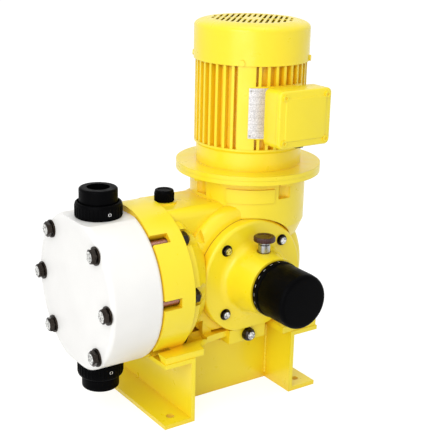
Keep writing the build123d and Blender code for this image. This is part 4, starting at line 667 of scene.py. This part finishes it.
def fastener_tree():
    """Copies of a pattern on seats, each turned as its seat says."""
    tree, start, end = new_tree("Fasteners on seats", {
        "Seats": "Geometry", "Pattern": "Object", "Width": "Float", "Breadth": "Float", "Height": "Float",
        "Finish": "Material",
    })
    pattern = tree.nodes.new("GeometryNodeObjectInfo")
    turn = tree.nodes.new("GeometryNodeInputNamedAttribute")
    turn.data_type = "FLOAT_VECTOR"
    turn.inputs["Name"].default_value = "turn"
    rotation = tree.nodes.new("FunctionNodeEulerToRotation")
    size = tree.nodes.new("ShaderNodeCombineXYZ")
    copies = tree.nodes.new("GeometryNodeInstanceOnPoints")
    wire(
        tree, (start, "Pattern", pattern, "Object"), (turn, "Attribute", rotation, "Euler"),
        (start, "Width", size, "X"), (start, "Breadth", size, "Y"), (start, "Height", size, "Z"),
        (start, "Seats", copies, "Points"), (pattern, "Geometry", copies, "Instance"),
        (rotation, 0, copies, "Rotation"), (size, 0, copies, "Scale"),
    )
    closing_nodes(tree, copies, start, end)
    return tree


def rib_tree():
    """Upright half-round ribs evenly round a rim, in the rim's own axes."""
    tree, start, end = new_tree("Ribs round a rim", {
        "Seats": "Geometry", "Rim Radius": "Float", "Rib Count": "Int", "Rib Radius": "Float",
        "Rib Length": "Float", "Finish": "Material",
    })
    rim = tree.nodes.new("GeometryNodeMeshCircle")
    rib = tree.nodes.new("GeometryNodeMeshCylinder")
    rib.inputs["Vertices"].default_value = 8
    copies = tree.nodes.new("GeometryNodeInstanceOnPoints")
    wire(
        tree, (start, "Rib Count", rim, "Vertices"), (start, "Rim Radius", rim, "Radius"),
        (start, "Rib Radius", rib, "Radius"), (start, "Rib Length", rib, "Depth"),
        (rim, 0, copies, "Points"), (rib, "Mesh", copies, "Instance"),
    )
    closing_nodes(tree, copies, start, end)
    return tree


def bead_tree():
    """A rippled weld bead that follows the lines it is given."""
    tree, start, end = new_tree("Bead along a line", {
        "Seats": "Geometry", "Bead Radius": "Float", "Ripple": "Float", "Step": "Float", "Finish": "Material",
    })
    path = tree.nodes.new("GeometryNodeMeshToCurve")
    steps = tree.nodes.new("GeometryNodeResampleCurve")
    steps.mode = "LENGTH"
    order = tree.nodes.new("GeometryNodeInputIndex")
    wave = tree.nodes.new("ShaderNodeMath")
    wave.operation = "SINE"
    swell = tree.nodes.new("ShaderNodeMath")
    swell.operation = "MULTIPLY_ADD"
    swell.inputs[2].default_value = 1.0
    radius = tree.nodes.new("GeometryNodeSetCurveRadius")
    section = tree.nodes.new("GeometryNodeCurvePrimitiveCircle")
    section.inputs["Resolution"].default_value = 10
    bead = tree.nodes.new("GeometryNodeCurveToMesh")
    bead.inputs["Fill Caps"].default_value = True
    wire(
        tree, (start, "Seats", path, "Mesh"), (path, 0, steps, "Curve"), (start, "Step", steps, "Length"),
        (order, 0, wave, 0), (wave, 0, swell, 0), (start, "Ripple", swell, 1),
        (steps, 0, radius, "Curve"), (swell, 0, radius, "Radius"), (start, "Bead Radius", section, "Radius"),
        (radius, 0, bead, "Curve"), (section, "Curve", bead, "Profile Curve"),
    )
    if "Scale" in bead.inputs:
        wire(tree, (swell, 0, bead, "Scale"))
    closing_nodes(tree, bead, start, end)
    return tree


TREES = {}


def grown(name, maker, base, inputs):
    """Runs a tree over a base mesh and returns the result as a plain mesh."""
    if maker not in TREES:
        TREES[maker] = maker()
    tree = TREES[maker]
    obj = new_object(name + "_seats", base)
    modifier = obj.modifiers.new("Repeat", "NODES")
    modifier.node_group = tree
    sockets = {item.name: item.identifier for item in tree.interface.items_tree if item.in_out == "INPUT"}
    for label, value in inputs.items():
        modifier[sockets[label]] = value
    bpy.context.view_layer.update()
    graph = bpy.context.evaluated_depsgraph_get()
    mesh = bpy.data.meshes.new_from_object(obj.evaluated_get(graph), depsgraph=graph)
    mesh.name = name
    obj.modifiers.remove(modifier)
    bpy.data.objects.remove(obj)
    if not mesh.polygons:
        raise RuntimeError(f"{name} came out empty")
    return mesh


def copies_on(name, pattern, seats, width, height, finish_name, breadth=None):
    """A pattern at each (place, direction, spin), as one plain mesh."""
    base = bpy.data.meshes.new(name + "_seats")
    base.from_pydata([tuple(place) for place, _, _ in seats], [], [])
    turns = base.attributes.new("turn", "FLOAT_VECTOR", "POINT")
    for item, (place, direction, spin) in zip(turns.data, seats):
        item.vector = facing(direction, place, spin).to_euler()
    model = new_object(name + "_pattern", pattern)
    mesh = grown(name, fastener_tree, base, {
        "Pattern": model, "Width": width, "Breadth": breadth or width, "Height": height,
        "Finish": finish_named(finish_name),
    })
    bpy.data.objects.remove(model)
    return mesh


def fitted_copies(
    name, pattern, seats, width, height, finish_name, replaced=(), body="base", breadth=None
):
    """A pattern at each seat, with its finish, on its body."""
    mesh = copies_on(name, pattern, seats, width, height, finish_name, breadth)
    return settle(mesh, name, body, finish_name, replaced)


def round_gear_axis(count, radius, y, start=0.0):
    """Places evenly round the gear axis, each with its angle."""
    places = []
    for k in range(count):
        angle = 2 * math.pi * k / count + start
        place = Vector((GEAR_AXIS.x + radius * math.cos(angle), y, GEAR_AXIS.z + radius * math.sin(angle)))
        places.append((place, angle))
    return places


def scallop(count, angle):
    """0 on each of the crests round a rim, 1 midway between them."""
    return 0.5 - 0.5 * math.cos(count * angle)


def settle_ribbed(name, core, rim, count, radius, length, middle, replaced):
    """A black cap or nut: its turned core, with grip ribs round its upright rim."""
    ribs = grown("grip_ribs", rib_tree, bpy.data.meshes.new("rim_seats"), {
        "Rim Radius": rim, "Rib Count": count, "Rib Radius": radius, "Rib Length": length,
        "Finish": finish_named("black"),
    })
    ribs.transform(Matrix.Translation(middle))
    settle(joined(name, [core, ribs]), name, "base", "black", replaced)


# ---------------------------------------------------------------- operators
class PumpStep:
    bl_options = {"REGISTER", "UNDO"}


class PUMP_OT_paint_castings(PumpStep, bpy.types.Operator):
    """Gives the castings, the motor and the stand their yellow enamel"""

    bl_idname = "pump.paint_castings"
    bl_label = "Paint castings"

    def execute(self, context):
        dress(["gear_housing", "gear_cover", "rear_cover"], "cast_enamel")
        dress(["drive_end_shield", "motor_frame", "rear_shield"], "cast_enamel")
        dress(["stand_frame", "fan_cowl", "coupling_door"], "sheet_enamel")
        return {"FINISHED"}


class PUMP_OT_finish_inner_parts(PumpStep, bpy.types.Operator):
    """Gives the drive train, valves, seals and motor parts their metals and plastics"""

    bl_idname = "pump.finish_inner_parts"
    bl_label = "Finish inner parts"

    def execute(self, context):
        for finish_name, nodes in {
            "machined": [
                "sleeve_retainer", "worm_bearings", "crank_bearings", "motor_bearings", "motor_shaft",
                "shaft_coupling", "worm_shaft", "crank_shaft", "plunger", "adjuster_spindle",
            ],
            "chrome": ["suction_ball", "discharge_ball"],
            "bronze": ["worm_wheel", "guide_bush"],
            "brass": ["adjuster_sleeve"],
            "aluminium": ["backing_disc"],
            "laminations": ["stator_core", "rotor_core"],
            "copper": ["stator_windings"],
            "gasket": ["gear_cover_gasket", "rear_cover_gasket"],
            "diaphragm": ["diaphragm", "diaphragm_rim"],
            "black": ["cooling_fan", "terminal_block", "entry_plug"],
            "head": ["pump_head", "discharge_seat", "suction_seat", "discharge_cage", "suction_cage"],
            "painted": ["flange_bolts", "stand_bolts"],
            "plate": ["nameplate"],
        }.items():
            dress(nodes, finish_name)
        return {"FINISHED"}


def head_bolt_seats(x, direction):
    """Seats of the level pair of bolts, then of the slanting pairs; each bolt has its own turn."""
    sizes = bpy.context.scene.pump_fasteners
    turn_per_angle = 0.35
    angles = [0, math.pi]
    for side in (0, math.pi):
        angles += [side + sizes.angle, side - sizes.angle]
    seats = []
    for angle in angles:
        y, z = sizes.circle * math.cos(angle), PUMP_AXIS.z + sizes.circle * math.sin(angle)
        seats.append((Vector((x, y, z)), direction, turn_per_angle * angle))
    return seats


class PUMP_OT_head_bolts(PumpStep, bpy.types.Operator):
    """Makes the pump head's six bolts with their washers and nuts"""

    bl_idname = "pump.head_bolts"
    bl_label = "Head bolts"

    def execute(self, context):
        sizes = context.scene.pump_fasteners
        outward, inward = (-1, 0, 0), (1, 0, 0)
        under_head = HEAD_FACE_X - sizes.washer_height
        stud_length = span("head_bolts", 0)[1] - under_head
        stud_sink = 0.5 * MM
        fitted_copies(
            "head_bolt_set", hex_head_pattern(), head_bolt_seats(under_head, outward),
            sizes.flats, sizes.head, "head_steel", ["head_bolts"],
        )
        fitted_copies(
            "head_stud_set", stud_pattern(sizes.stud_turns), head_bolt_seats(under_head - stud_sink, inward),
            sizes.stud, stud_length, "stud_steel",
        )
        washer_seats = head_bolt_seats(HEAD_FACE_X, outward) + head_bolt_seats(RING_BACK_X, inward)
        # Washers in painted shade.
        fitted_copies(
            "head_washer_set", washer_pattern(), washer_seats, sizes.washer, sizes.washer_height,
            "dark_steel", ["head_washers"],
        )
        nut_seats = head_bolt_seats(RING_BACK_X + sizes.washer_height, inward)
        fitted_copies(
            "head_nut_set", hex_head_pattern(sizes.stud / sizes.flats / 2), nut_seats, sizes.flats, sizes.nut,
            "head_steel", ["head_nuts"],
        )
        return {"FINISHED"}


class PUMP_OT_cover_screws(PumpStep, bpy.types.Operator):
    """Makes the screws of the two gear covers, with their washers"""

    bl_idname = "pump.cover_screws"
    bl_label = "Cover screws"

    def execute(self, context):
        sizes = context.scene.pump_fasteners
        for name, node, y, side in (
            ("gear_cover_screw_set", "gear_cover_screws", COVER_FACE_Y, -1),
            ("rear_cover_screw_set", "rear_cover_screws", REAR_FACE_Y, 1),
        ):
            ring = round_gear_axis(4, sizes.cover_circle, y, math.pi / 4)
            seats = [(place, (0, side, 0), angle) for place, angle in ring]
            fitted_copies(
                name, hex_head_pattern(), seats, sizes.cover_screw, sizes.cover_screw_height,
                "cover_steel", [node],
            )
            # Washers in painted shade.
            fitted_copies(
                name + "_washers", washer_pattern(), seats, sizes.cover_washer, sizes.cover_washer_height,
                "dark_steel",
            )
        return {"FINISHED"}


class PUMP_OT_small_screws(PumpStep, bpy.types.Operator):
    """Paints the small screws of the fan cowl and the terminal box lid"""

    bl_idname = "pump.small_screws"
    bl_label = "Small screws"

    def execute(self, context):
        dress(["cowl_screws", "lid_screws"], "painted")
        return {"FINISHED"}


class PUMP_OT_stroke_knob(PumpStep, bpy.types.Operator):
    """Makes the stroke knob with its grip and scale marks"""

    bl_idname = "pump.stroke_knob"
    bl_label = "Stroke knob"

    def execute(self, context):
        settings = context.scene.pump_knob
        low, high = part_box("stroke_knob")
        skirt, length = (high.x - low.x) / 2, high.y - low.y
        grip = skirt - 1 * MM
        groove = grip - 0.4 * MM
        bore, bore_end = 14 * MM, length - 12 * MM
        end_round = 6.5 * MM
        outline = eased([
            (bore, 0), (skirt - 1 * MM, 0), (skirt, 1 * MM), (skirt, 8 * MM), (groove, 9.4 * MM),
            (groove, 11 * MM), (grip, 12 * MM), (grip, length - 10 * MM), (grip - 0.3 * MM, length - 8 * MM),
            (grip - 0.6 * MM, length), (0, length), (0, bore_end), (bore, bore_end),
        ], {9: end_round}, 8)
        flutes_start, flutes_end = 12.5 * MM, length - end_round

        def fluted(angle, r, z, index):
            if flutes_start < z < flutes_end and r > skirt - 2 * MM:
                r -= settings.flute_depth * scallop(settings.flutes, angle) ** 2
            return r, z
        place = facing((0, -1, 0), (GEAR_AXIS.x, high.y, GEAR_AXIS.z))
        knob = lathe("stroke_knob_grip", outline, place, 6 * settings.flutes, fluted)
        settle(knob, "stroke_knob_grip", "knob_unit", "black", ["stroke_knob"])
        mark_sink, mark_middle = 0.06 * MM, 4.5 * MM
        ring = round_gear_axis(settings.marks, skirt - mark_sink, high.y - mark_middle)
        seats = [(place, (math.cos(angle), 0, math.sin(angle)), 0.0) for place, angle in ring]
        fitted_copies(
            "stroke_scale_marks", bar_pattern(), seats, settings.mark_width, 2 * mark_sink, "marking",
            body="knob_unit", breadth=settings.mark_length,
        )
        return {"FINISHED"}


class PUMP_OT_lock_knob(PumpStep, bpy.types.Operator):
    """Makes the knurled lock knob and its metal stem"""

    bl_idname = "pump.lock_knob"
    bl_label = "Lock knob"

    def execute(self, context):
        settings = context.scene.pump_knob
        low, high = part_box("stroke_lock")
        middle = centre_of("stroke_lock")
        place = facing((0, 0, 1), (middle.x, middle.y, 0))
        rim = (high.x - low.x) / 2
        cap_bottom, dish = high.z - 7 * MM, high.z - 0.8 * MM
        outline = eased([
            (0, cap_bottom), (rim - 0.6 * MM, cap_bottom), (rim, cap_bottom + 0.8 * MM),
            (rim, high.z - 1.6 * MM), (rim - 1.4 * MM, high.z), (rim - 5 * MM, high.z), (rim - 6 * MM, dish),
            (0, dish),
        ], {3: 0.6 * MM, 4: 0.8 * MM}, 3)

        def knurled(angle, r, z, index):
            if r > rim - 0.4 * MM:
                r -= settings.knurl_depth * scallop(settings.knurls, angle)
            return r, z
        cap = lathe("lock_knob_cap", outline, place, 6 * settings.knurls, knurled)
        settle(cap, "lock_knob_cap", "lock", "lock", ["stroke_lock"])
        stem, neck, collar = 4 * MM, 6.6 * MM, 8 * MM
        collar_bottom, collar_top = high.z - 23 * MM, cap_bottom - 5 * MM
        stem_outline = eased([
            (0, low.z), (stem - 0.6 * MM, low.z), (stem, low.z + 1 * MM), (stem, collar_bottom),
            (collar - 0.6 * MM, collar_bottom), (collar, collar_bottom + 0.8 * MM), (collar, collar_top),
            (neck, collar_top + 1 * MM), (neck, cap_bottom), (0, cap_bottom),
        ], {5: 0.4 * MM}, 3)
        stem_mesh = lathe("lock_knob_stem", stem_outline, place, 40)
        settle(stem_mesh, "lock_knob_stem", "lock", "machined")
        return {"FINISHED"}


class PUMP_OT_oil_cap(PumpStep, bpy.types.Operator):
    """Makes the ribbed oil filler cap"""

    bl_idname = "pump.oil_cap"
    bl_label = "Oil cap"

    def execute(self, context):
        low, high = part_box("oil_cap")
        middle = centre_of("oil_cap")
        rim, thread = (high.x - low.x) / 2, 7.6 * MM
        seat, dish = high.z - 16 * MM, high.z - 1 * MM
        rib_count, rib_radius, rib_length = context.scene.pump_trim.cap_ribs, 1.1 * MM, 11 * MM
        outline = eased([
            (0, low.z), (thread, low.z), (thread, seat), (rim - 1 * MM, seat), (rim - 0.8 * MM, high.z),
            (rim - 4.5 * MM, high.z), (rim - 5.2 * MM, dish), (0, dish),
        ], {3: 0.5 * MM, 4: 2.4 * MM, 5: 0.5 * MM}, 4)
        cap = lathe("cap_body", outline, facing((0, 0, 1), (middle.x, middle.y, 0)), 72)
        rib_middle = (middle.x, middle.y, seat + 1.1 * MM + rib_length / 2)
        settle_ribbed(
            "oil_cap_ribbed", cap, rim - 1.15 * MM, rib_count, rib_radius, rib_length, rib_middle, ["oil_cap"]
        )
        return {"FINISHED"}


class PUMP_OT_valve_unions(PumpStep, bpy.types.Operator):
    """Makes the union nuts round the two pipe ports, each nut with a painted ring, and gives the ports their
    black plastic
    """

    bl_idname = "pump.valve_unions"
    bl_label = "Valve unions"

    def execute(self, context):
        sizes = context.scene.pump_trim
        bore, rib_radius = 26.5 * MM, 1.15 * MM
        for side, valve in ((1, "discharge"), (-1, "suction")):
            low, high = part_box(valve + "_union_nut")
            x = (low.x + high.x) / 2
            start = low.z if side > 0 else high.z
            rim, length = (high.x - low.x) / 2, high.z - low.z
            band_middle = start + side * (length / 2 - 1.5 * MM)
            outline = eased([
                (bore, 0), (rim - 1 * MM, 0), (rim - 0.6 * MM, length), (bore, length),
            ], {1: 0.6 * MM, 2: 4 * MM, 3: 0.8 * MM}, 5)
            nut = lathe("nut_body", outline, facing((0, 0, side), (x, 0, start)), 96)
            rib_length = length - 6 * MM
            settle_ribbed(
                valve + "_nut_ribbed", nut, rim - 1.2 * MM, sizes.nut_ribs, rib_radius, rib_length,
                (x, 0, band_middle), [valve + "_union_nut"],
            )
            dress([valve + "_port"], "black")
            section = [(-0.45 * MM, 0), (0.45 * MM, 0), (0.3 * MM, 0.25 * MM), (-0.3 * MM, 0.25 * MM)]
            ring = [(sizes.nut_mark + r, z) for r, z in section]
            name = valve + "_nut_mark"
            mark = lathe(name, ring, facing((0, -1, 0), (x, 0.5 * MM - rim, band_middle)), 24)
            settle(mark, name, "base", "marking")
        return {"FINISHED"}


class PUMP_OT_drain_plug(PumpStep, bpy.types.Operator):
    """Makes the plated drain plug with its domed crown"""

    bl_idname = "pump.drain_plug"
    bl_label = "Drain plug"

    def execute(self, context):
        low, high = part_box("drain_plug")
        middle = centre_of("drain_plug")
        rim, head = (high.x - low.x) / 2, 10 * MM
        thread, thread_length = 7 * MM, 12 * MM
        outline = eased([
            (0, -thread_length), (thread, -thread_length), (thread, 0), (rim, 0), (rim, head - 5 * MM),
            (6.4 * MM, head), (0, head),
        ], {3: 0.3 * MM, 4: 2.4 * MM, 5: 2.2 * MM}, 6)
        plug = lathe("drain_plug_plated", outline, facing((0, -1, 0), (middle.x, low.y + head, middle.z)), 60)
        settle(plug, "drain_plug_plated", "base", "plug", ["drain_plug"])
        return {"FINISHED"}


def box_levels(depth):
    """Insets of the terminal box from its back to its open front."""
    back, front = 1.5 * MM, 0.6 * MM
    return [(back, 0), (back * 0.3, back * 0.3), (0, back), (0, depth - front), (front, depth)]


def lid_levels(depth):
    """Insets of the lid: a rounded rim, then a raised field."""
    back, rim, rounding = 0.5 * MM, depth - 1.6 * MM, 2.6 * MM
    return [
        (back, 0), (back * 0.3, back * 0.3), (0, back),
        (0, rim - rounding), (0.35 * MM, rim - rounding / 2), (rounding / 2, rim - 0.35 * MM),
        (rounding, rim), (8.6 * MM, rim), (9.3 * MM, rim + 0.3 * MM), (9.9 * MM, depth - 0.3 * MM),
        (10.8 * MM, depth),
    ]


class PUMP_OT_terminal_box(PumpStep, bpy.types.Operator):
    """Makes the terminal box and its lid with eased edges"""

    bl_idname = "pump.terminal_box"
    bl_label = "Terminal box"

    def execute(self, context):
        corner = 7 * MM
        for name, node, levels_of in (
            ("terminal_box_cast", "terminal_box", box_levels),
            ("terminal_lid_cast", "terminal_box_lid", lid_levels),
        ):
            low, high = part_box(node)
            width, depth, height = high - low
            middle = (low + high) / 2
            place = facing((0, -1, 0), (middle.x, high.y, middle.z))
            mesh = plate(name, width, height, corner, levels_of(depth), place)
            settle(mesh, name, "base", "cast_enamel", [node])
        return {"FINISHED"}


class PUMP_OT_nameplate_rivets(PumpStep, bpy.types.Operator):
    """Sets four rivets in the bare nameplate"""

    bl_idname = "pump.nameplate_rivets"
    bl_label = "Nameplate rivets"

    def execute(self, context):
        low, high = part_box("nameplate")
        face_radius, inset, rivet_height = 76.7 * MM, 3.5 * MM, 0.9 * MM
        rivet = context.scene.pump_trim.rivet
        seats = []
        for bearing in (-125.6, -110.4):
            angle = math.radians(bearing)
            out = Vector((math.cos(angle), math.sin(angle), 0))
            for z in (low.z + inset, high.z - inset):
                seats.append((Vector((MOTOR_AXIS.x, 0, z)) + out * face_radius, out, 0.0))
        fitted_copies(
            "nameplate_rivets", rivet_pattern(), seats, rivet, rivet_height, "machined"
        )
        return {"FINISHED"}


class PUMP_OT_stand_welds(PumpStep, bpy.types.Operator):
    """Lays the weld beads between the stand's legs and webs"""

    bl_idname = "pump.stand_welds"
    bl_label = "Stand welds"

    def execute(self, context):
        leg_face, web_middle, web_half = 78.6 * MM, 40 * MM, 3.4 * MM
        bottom, top = 8 * MM, 84 * MM
        points, edges = [], []
        for leg, web, face in itertools.product((-1, 1), repeat=3):
            x, y = leg * leg_face, web * web_middle + face * web_half
            edges.append((len(points), len(points) + 1))
            points += [(x, y, bottom), (x, y, top)]
        base = bpy.data.meshes.new("weld_seats")
        base.from_pydata(points, edges, [])
        beads = grown("stand_weld_beads", bead_tree, base, {
            "Bead Radius": context.scene.pump_trim.weld, "Ripple": 0.12, "Step": 0.9 * MM,
            "Finish": finish_named("sheet_enamel"),
        })
        settle(beads, "stand_weld_beads", "base", "sheet_enamel")
        return {"FINISHED"}


# ---------------------------------------------------------------- stage
WHITE = (1, 1, 1, 1)
LIT_POINT = Vector((0, 0, 0.25))


def shader_node(tree, kind, **inputs):
    node = tree.nodes.new(kind)
    for name, value in inputs.items():
        node.inputs[name].default_value = value
    return node


def seen_rays(tree):
    """1 for camera, glossy and transmission rays."""
    path = tree.nodes.new("ShaderNodeLightPath")
    total = path.outputs["Is Camera Ray"]
    for label in ("Is Glossy Ray", "Is Transmission Ray"):
        greater = tree.nodes.new("ShaderNodeMath")
        greater.operation = "MAXIMUM"
        tree.links.new(total, greater.inputs[0])
        tree.links.new(path.outputs[label], greater.inputs[1])
        total = greater.outputs[0]
    return total


def split_by_rays(tree, output_kind, lighting, shown):
    """One shader for the rays that carry light to the pump, another for those that show the stage."""
    output = tree.nodes.new(output_kind)
    choice = tree.nodes.new("ShaderNodeMixShader")
    tree.links.new(seen_rays(tree), choice.inputs["Fac"])
    tree.links.new(lighting.outputs[0], choice.inputs[1])
    tree.links.new(shown.outputs[0], choice.inputs[2])
    tree.links.new(choice.outputs[0], output.inputs["Surface"])


def floor_finish():
    """Pale floor: a grey sheet that shows the object's shadow, lifted to white for rays that see it."""
    material = bpy.data.materials.new("studio_floor")
    tree = cleared_tree(material)
    plain = shader_node(tree, "ShaderNodeBsdfDiffuse", Color=(0.75, 0.75, 0.75, 1))
    grey = shader_node(tree, "ShaderNodeBsdfDiffuse", Color=(0.36, 0.36, 0.36, 1))
    lift = shader_node(tree, "ShaderNodeEmission", Strength=0.82)
    lifted = tree.nodes.new("ShaderNodeAddShader")
    tree.links.new(grey.outputs[0], lifted.inputs[0])
    tree.links.new(lift.outputs[0], lifted.inputs[1])
    split_by_rays(tree, "ShaderNodeOutputMaterial", plain, lifted)
    return material


def light_room(settings):
    """Even light from all round, and three round lamps that look at the pump."""
    world = bpy.data.worlds.new("studio_room")
    bpy.context.scene.world = world
    tree = cleared_tree(world)
    room = shader_node(tree, "ShaderNodeBackground", Color=WHITE, Strength=settings.sky)
    backdrop = shader_node(tree, "ShaderNodeBackground", Color=WHITE, Strength=1.0)
    split_by_rays(tree, "ShaderNodeOutputWorld", room, backdrop)
    for name, power, place, size in (
        ("key_lamp", settings.key, (-1.1, -0.7, 1.1), 0.9),
        ("top_lamp", settings.top, (0.1, -0.1, 1.6), 1.1),
        ("fill_lamp", settings.fill, (-1.1, -0.9, 0.12), 1.2),
    ):
        lamp = bpy.data.lights.new(name, "AREA")
        lamp.shape = "DISK"
        lamp.size = size
        lamp.energy = power
        obj = new_object(name, lamp)
        obj.location = place
        obj.rotation_euler = (LIT_POINT - Vector(place)).to_track_quat("-Z", "Y").to_euler()


def aim_camera(settings):
    """Stands the camera at its place, turned by its bearing, elevation and roll."""
    a, e, roll = settings.camera_turn, settings.camera_rise, settings.camera_roll
    back = Vector((math.sin(a) * math.cos(e), -math.cos(a) * math.cos(e), math.sin(e)))
    right = Vector((math.cos(a), math.sin(a), 0))
    up = back.cross(right)
    across = math.cos(roll) * right + math.sin(roll) * up
    upward = -math.sin(roll) * right + math.cos(roll) * up
    turn = Matrix((across, upward, back)).transposed().to_4x4()
    camera = new_object("studio_camera", bpy.data.cameras.new("studio_camera"))
    camera.matrix_world = Matrix.Translation(settings.camera_place) @ turn
    camera.data.sensor_width = 36
    camera.data.lens = settings.lens
    camera.data.clip_start = 0.01
    camera.data.clip_end = 100
    bpy.context.scene.camera = camera


class PUMP_OT_stage(PumpStep, bpy.types.Operator):
    """Sets the pale floor, the soft lights and the camera"""

    bl_idname = "pump.stage"
    bl_label = "Stage"

    def execute(self, context):
        settings = context.scene.pump_stage
        radius, thickness = 30, 1 * MM
        outline = [(0, -thickness), (radius, -thickness), (radius, 0), (0, 0)]
        floor = new_object("studio_floor", lathe("studio_floor", outline, segments=96))
        floor.data.materials.append(floor_finish())
        light_room(settings)
        aim_camera(settings)
        context.scene.view_settings.view_transform = "Standard"
        return {"FINISHED"}


STEPS = (
    PUMP_OT_paint_castings,
    PUMP_OT_finish_inner_parts,
    PUMP_OT_head_bolts,
    PUMP_OT_cover_screws,
    PUMP_OT_small_screws,
    PUMP_OT_stroke_knob,
    PUMP_OT_lock_knob,
    PUMP_OT_oil_cap,
    PUMP_OT_valve_unions,
    PUMP_OT_drain_plug,
    PUMP_OT_terminal_box,
    PUMP_OT_nameplate_rivets,
    PUMP_OT_stand_welds,
    PUMP_OT_stage,
)


class PUMP_PT_panel(bpy.types.Panel):
    """Steps that finish the pump, in the order in which they run"""

    bl_idname = "PUMP_PT_panel"
    bl_label = "Metering pump"
    bl_space_type = "VIEW_3D"
    bl_region_type = "UI"
    bl_category = "Pump"

    def draw(self, context):
        for group in GROUPS:
            settings = getattr(context.scene, group)
            column = self.layout.column(align=True)
            for key in settings.bl_rna.properties.keys():
                if key not in ("rna_type", "name"):
                    column.prop(settings, key)
        for step in STEPS:
            self.layout.operator(step.bl_idname)


def register():
    for group, kind in GROUPS.items():
        bpy.utils.register_class(kind)
        setattr(bpy.types.Scene, group, bpy.props.PointerProperty(type=kind))
    for step in STEPS:
        bpy.utils.register_class(step)
    bpy.utils.register_class(PUMP_PT_panel)


def unregister():
    bpy.utils.unregister_class(PUMP_PT_panel)
    for step in reversed(STEPS):
        bpy.utils.unregister_class(step)
    for group, kind in GROUPS.items():
        delattr(bpy.types.Scene, group)
        bpy.utils.unregister_class(kind)


def main():
    register()
    for step in STEPS:
        group, action = step.bl_idname.split(".")
        if getattr(getattr(bpy.ops, group), action)() != {"FINISHED"}:
            raise RuntimeError(f"{step.bl_idname} did not finish")


if __name__ == "__main__":
    main()
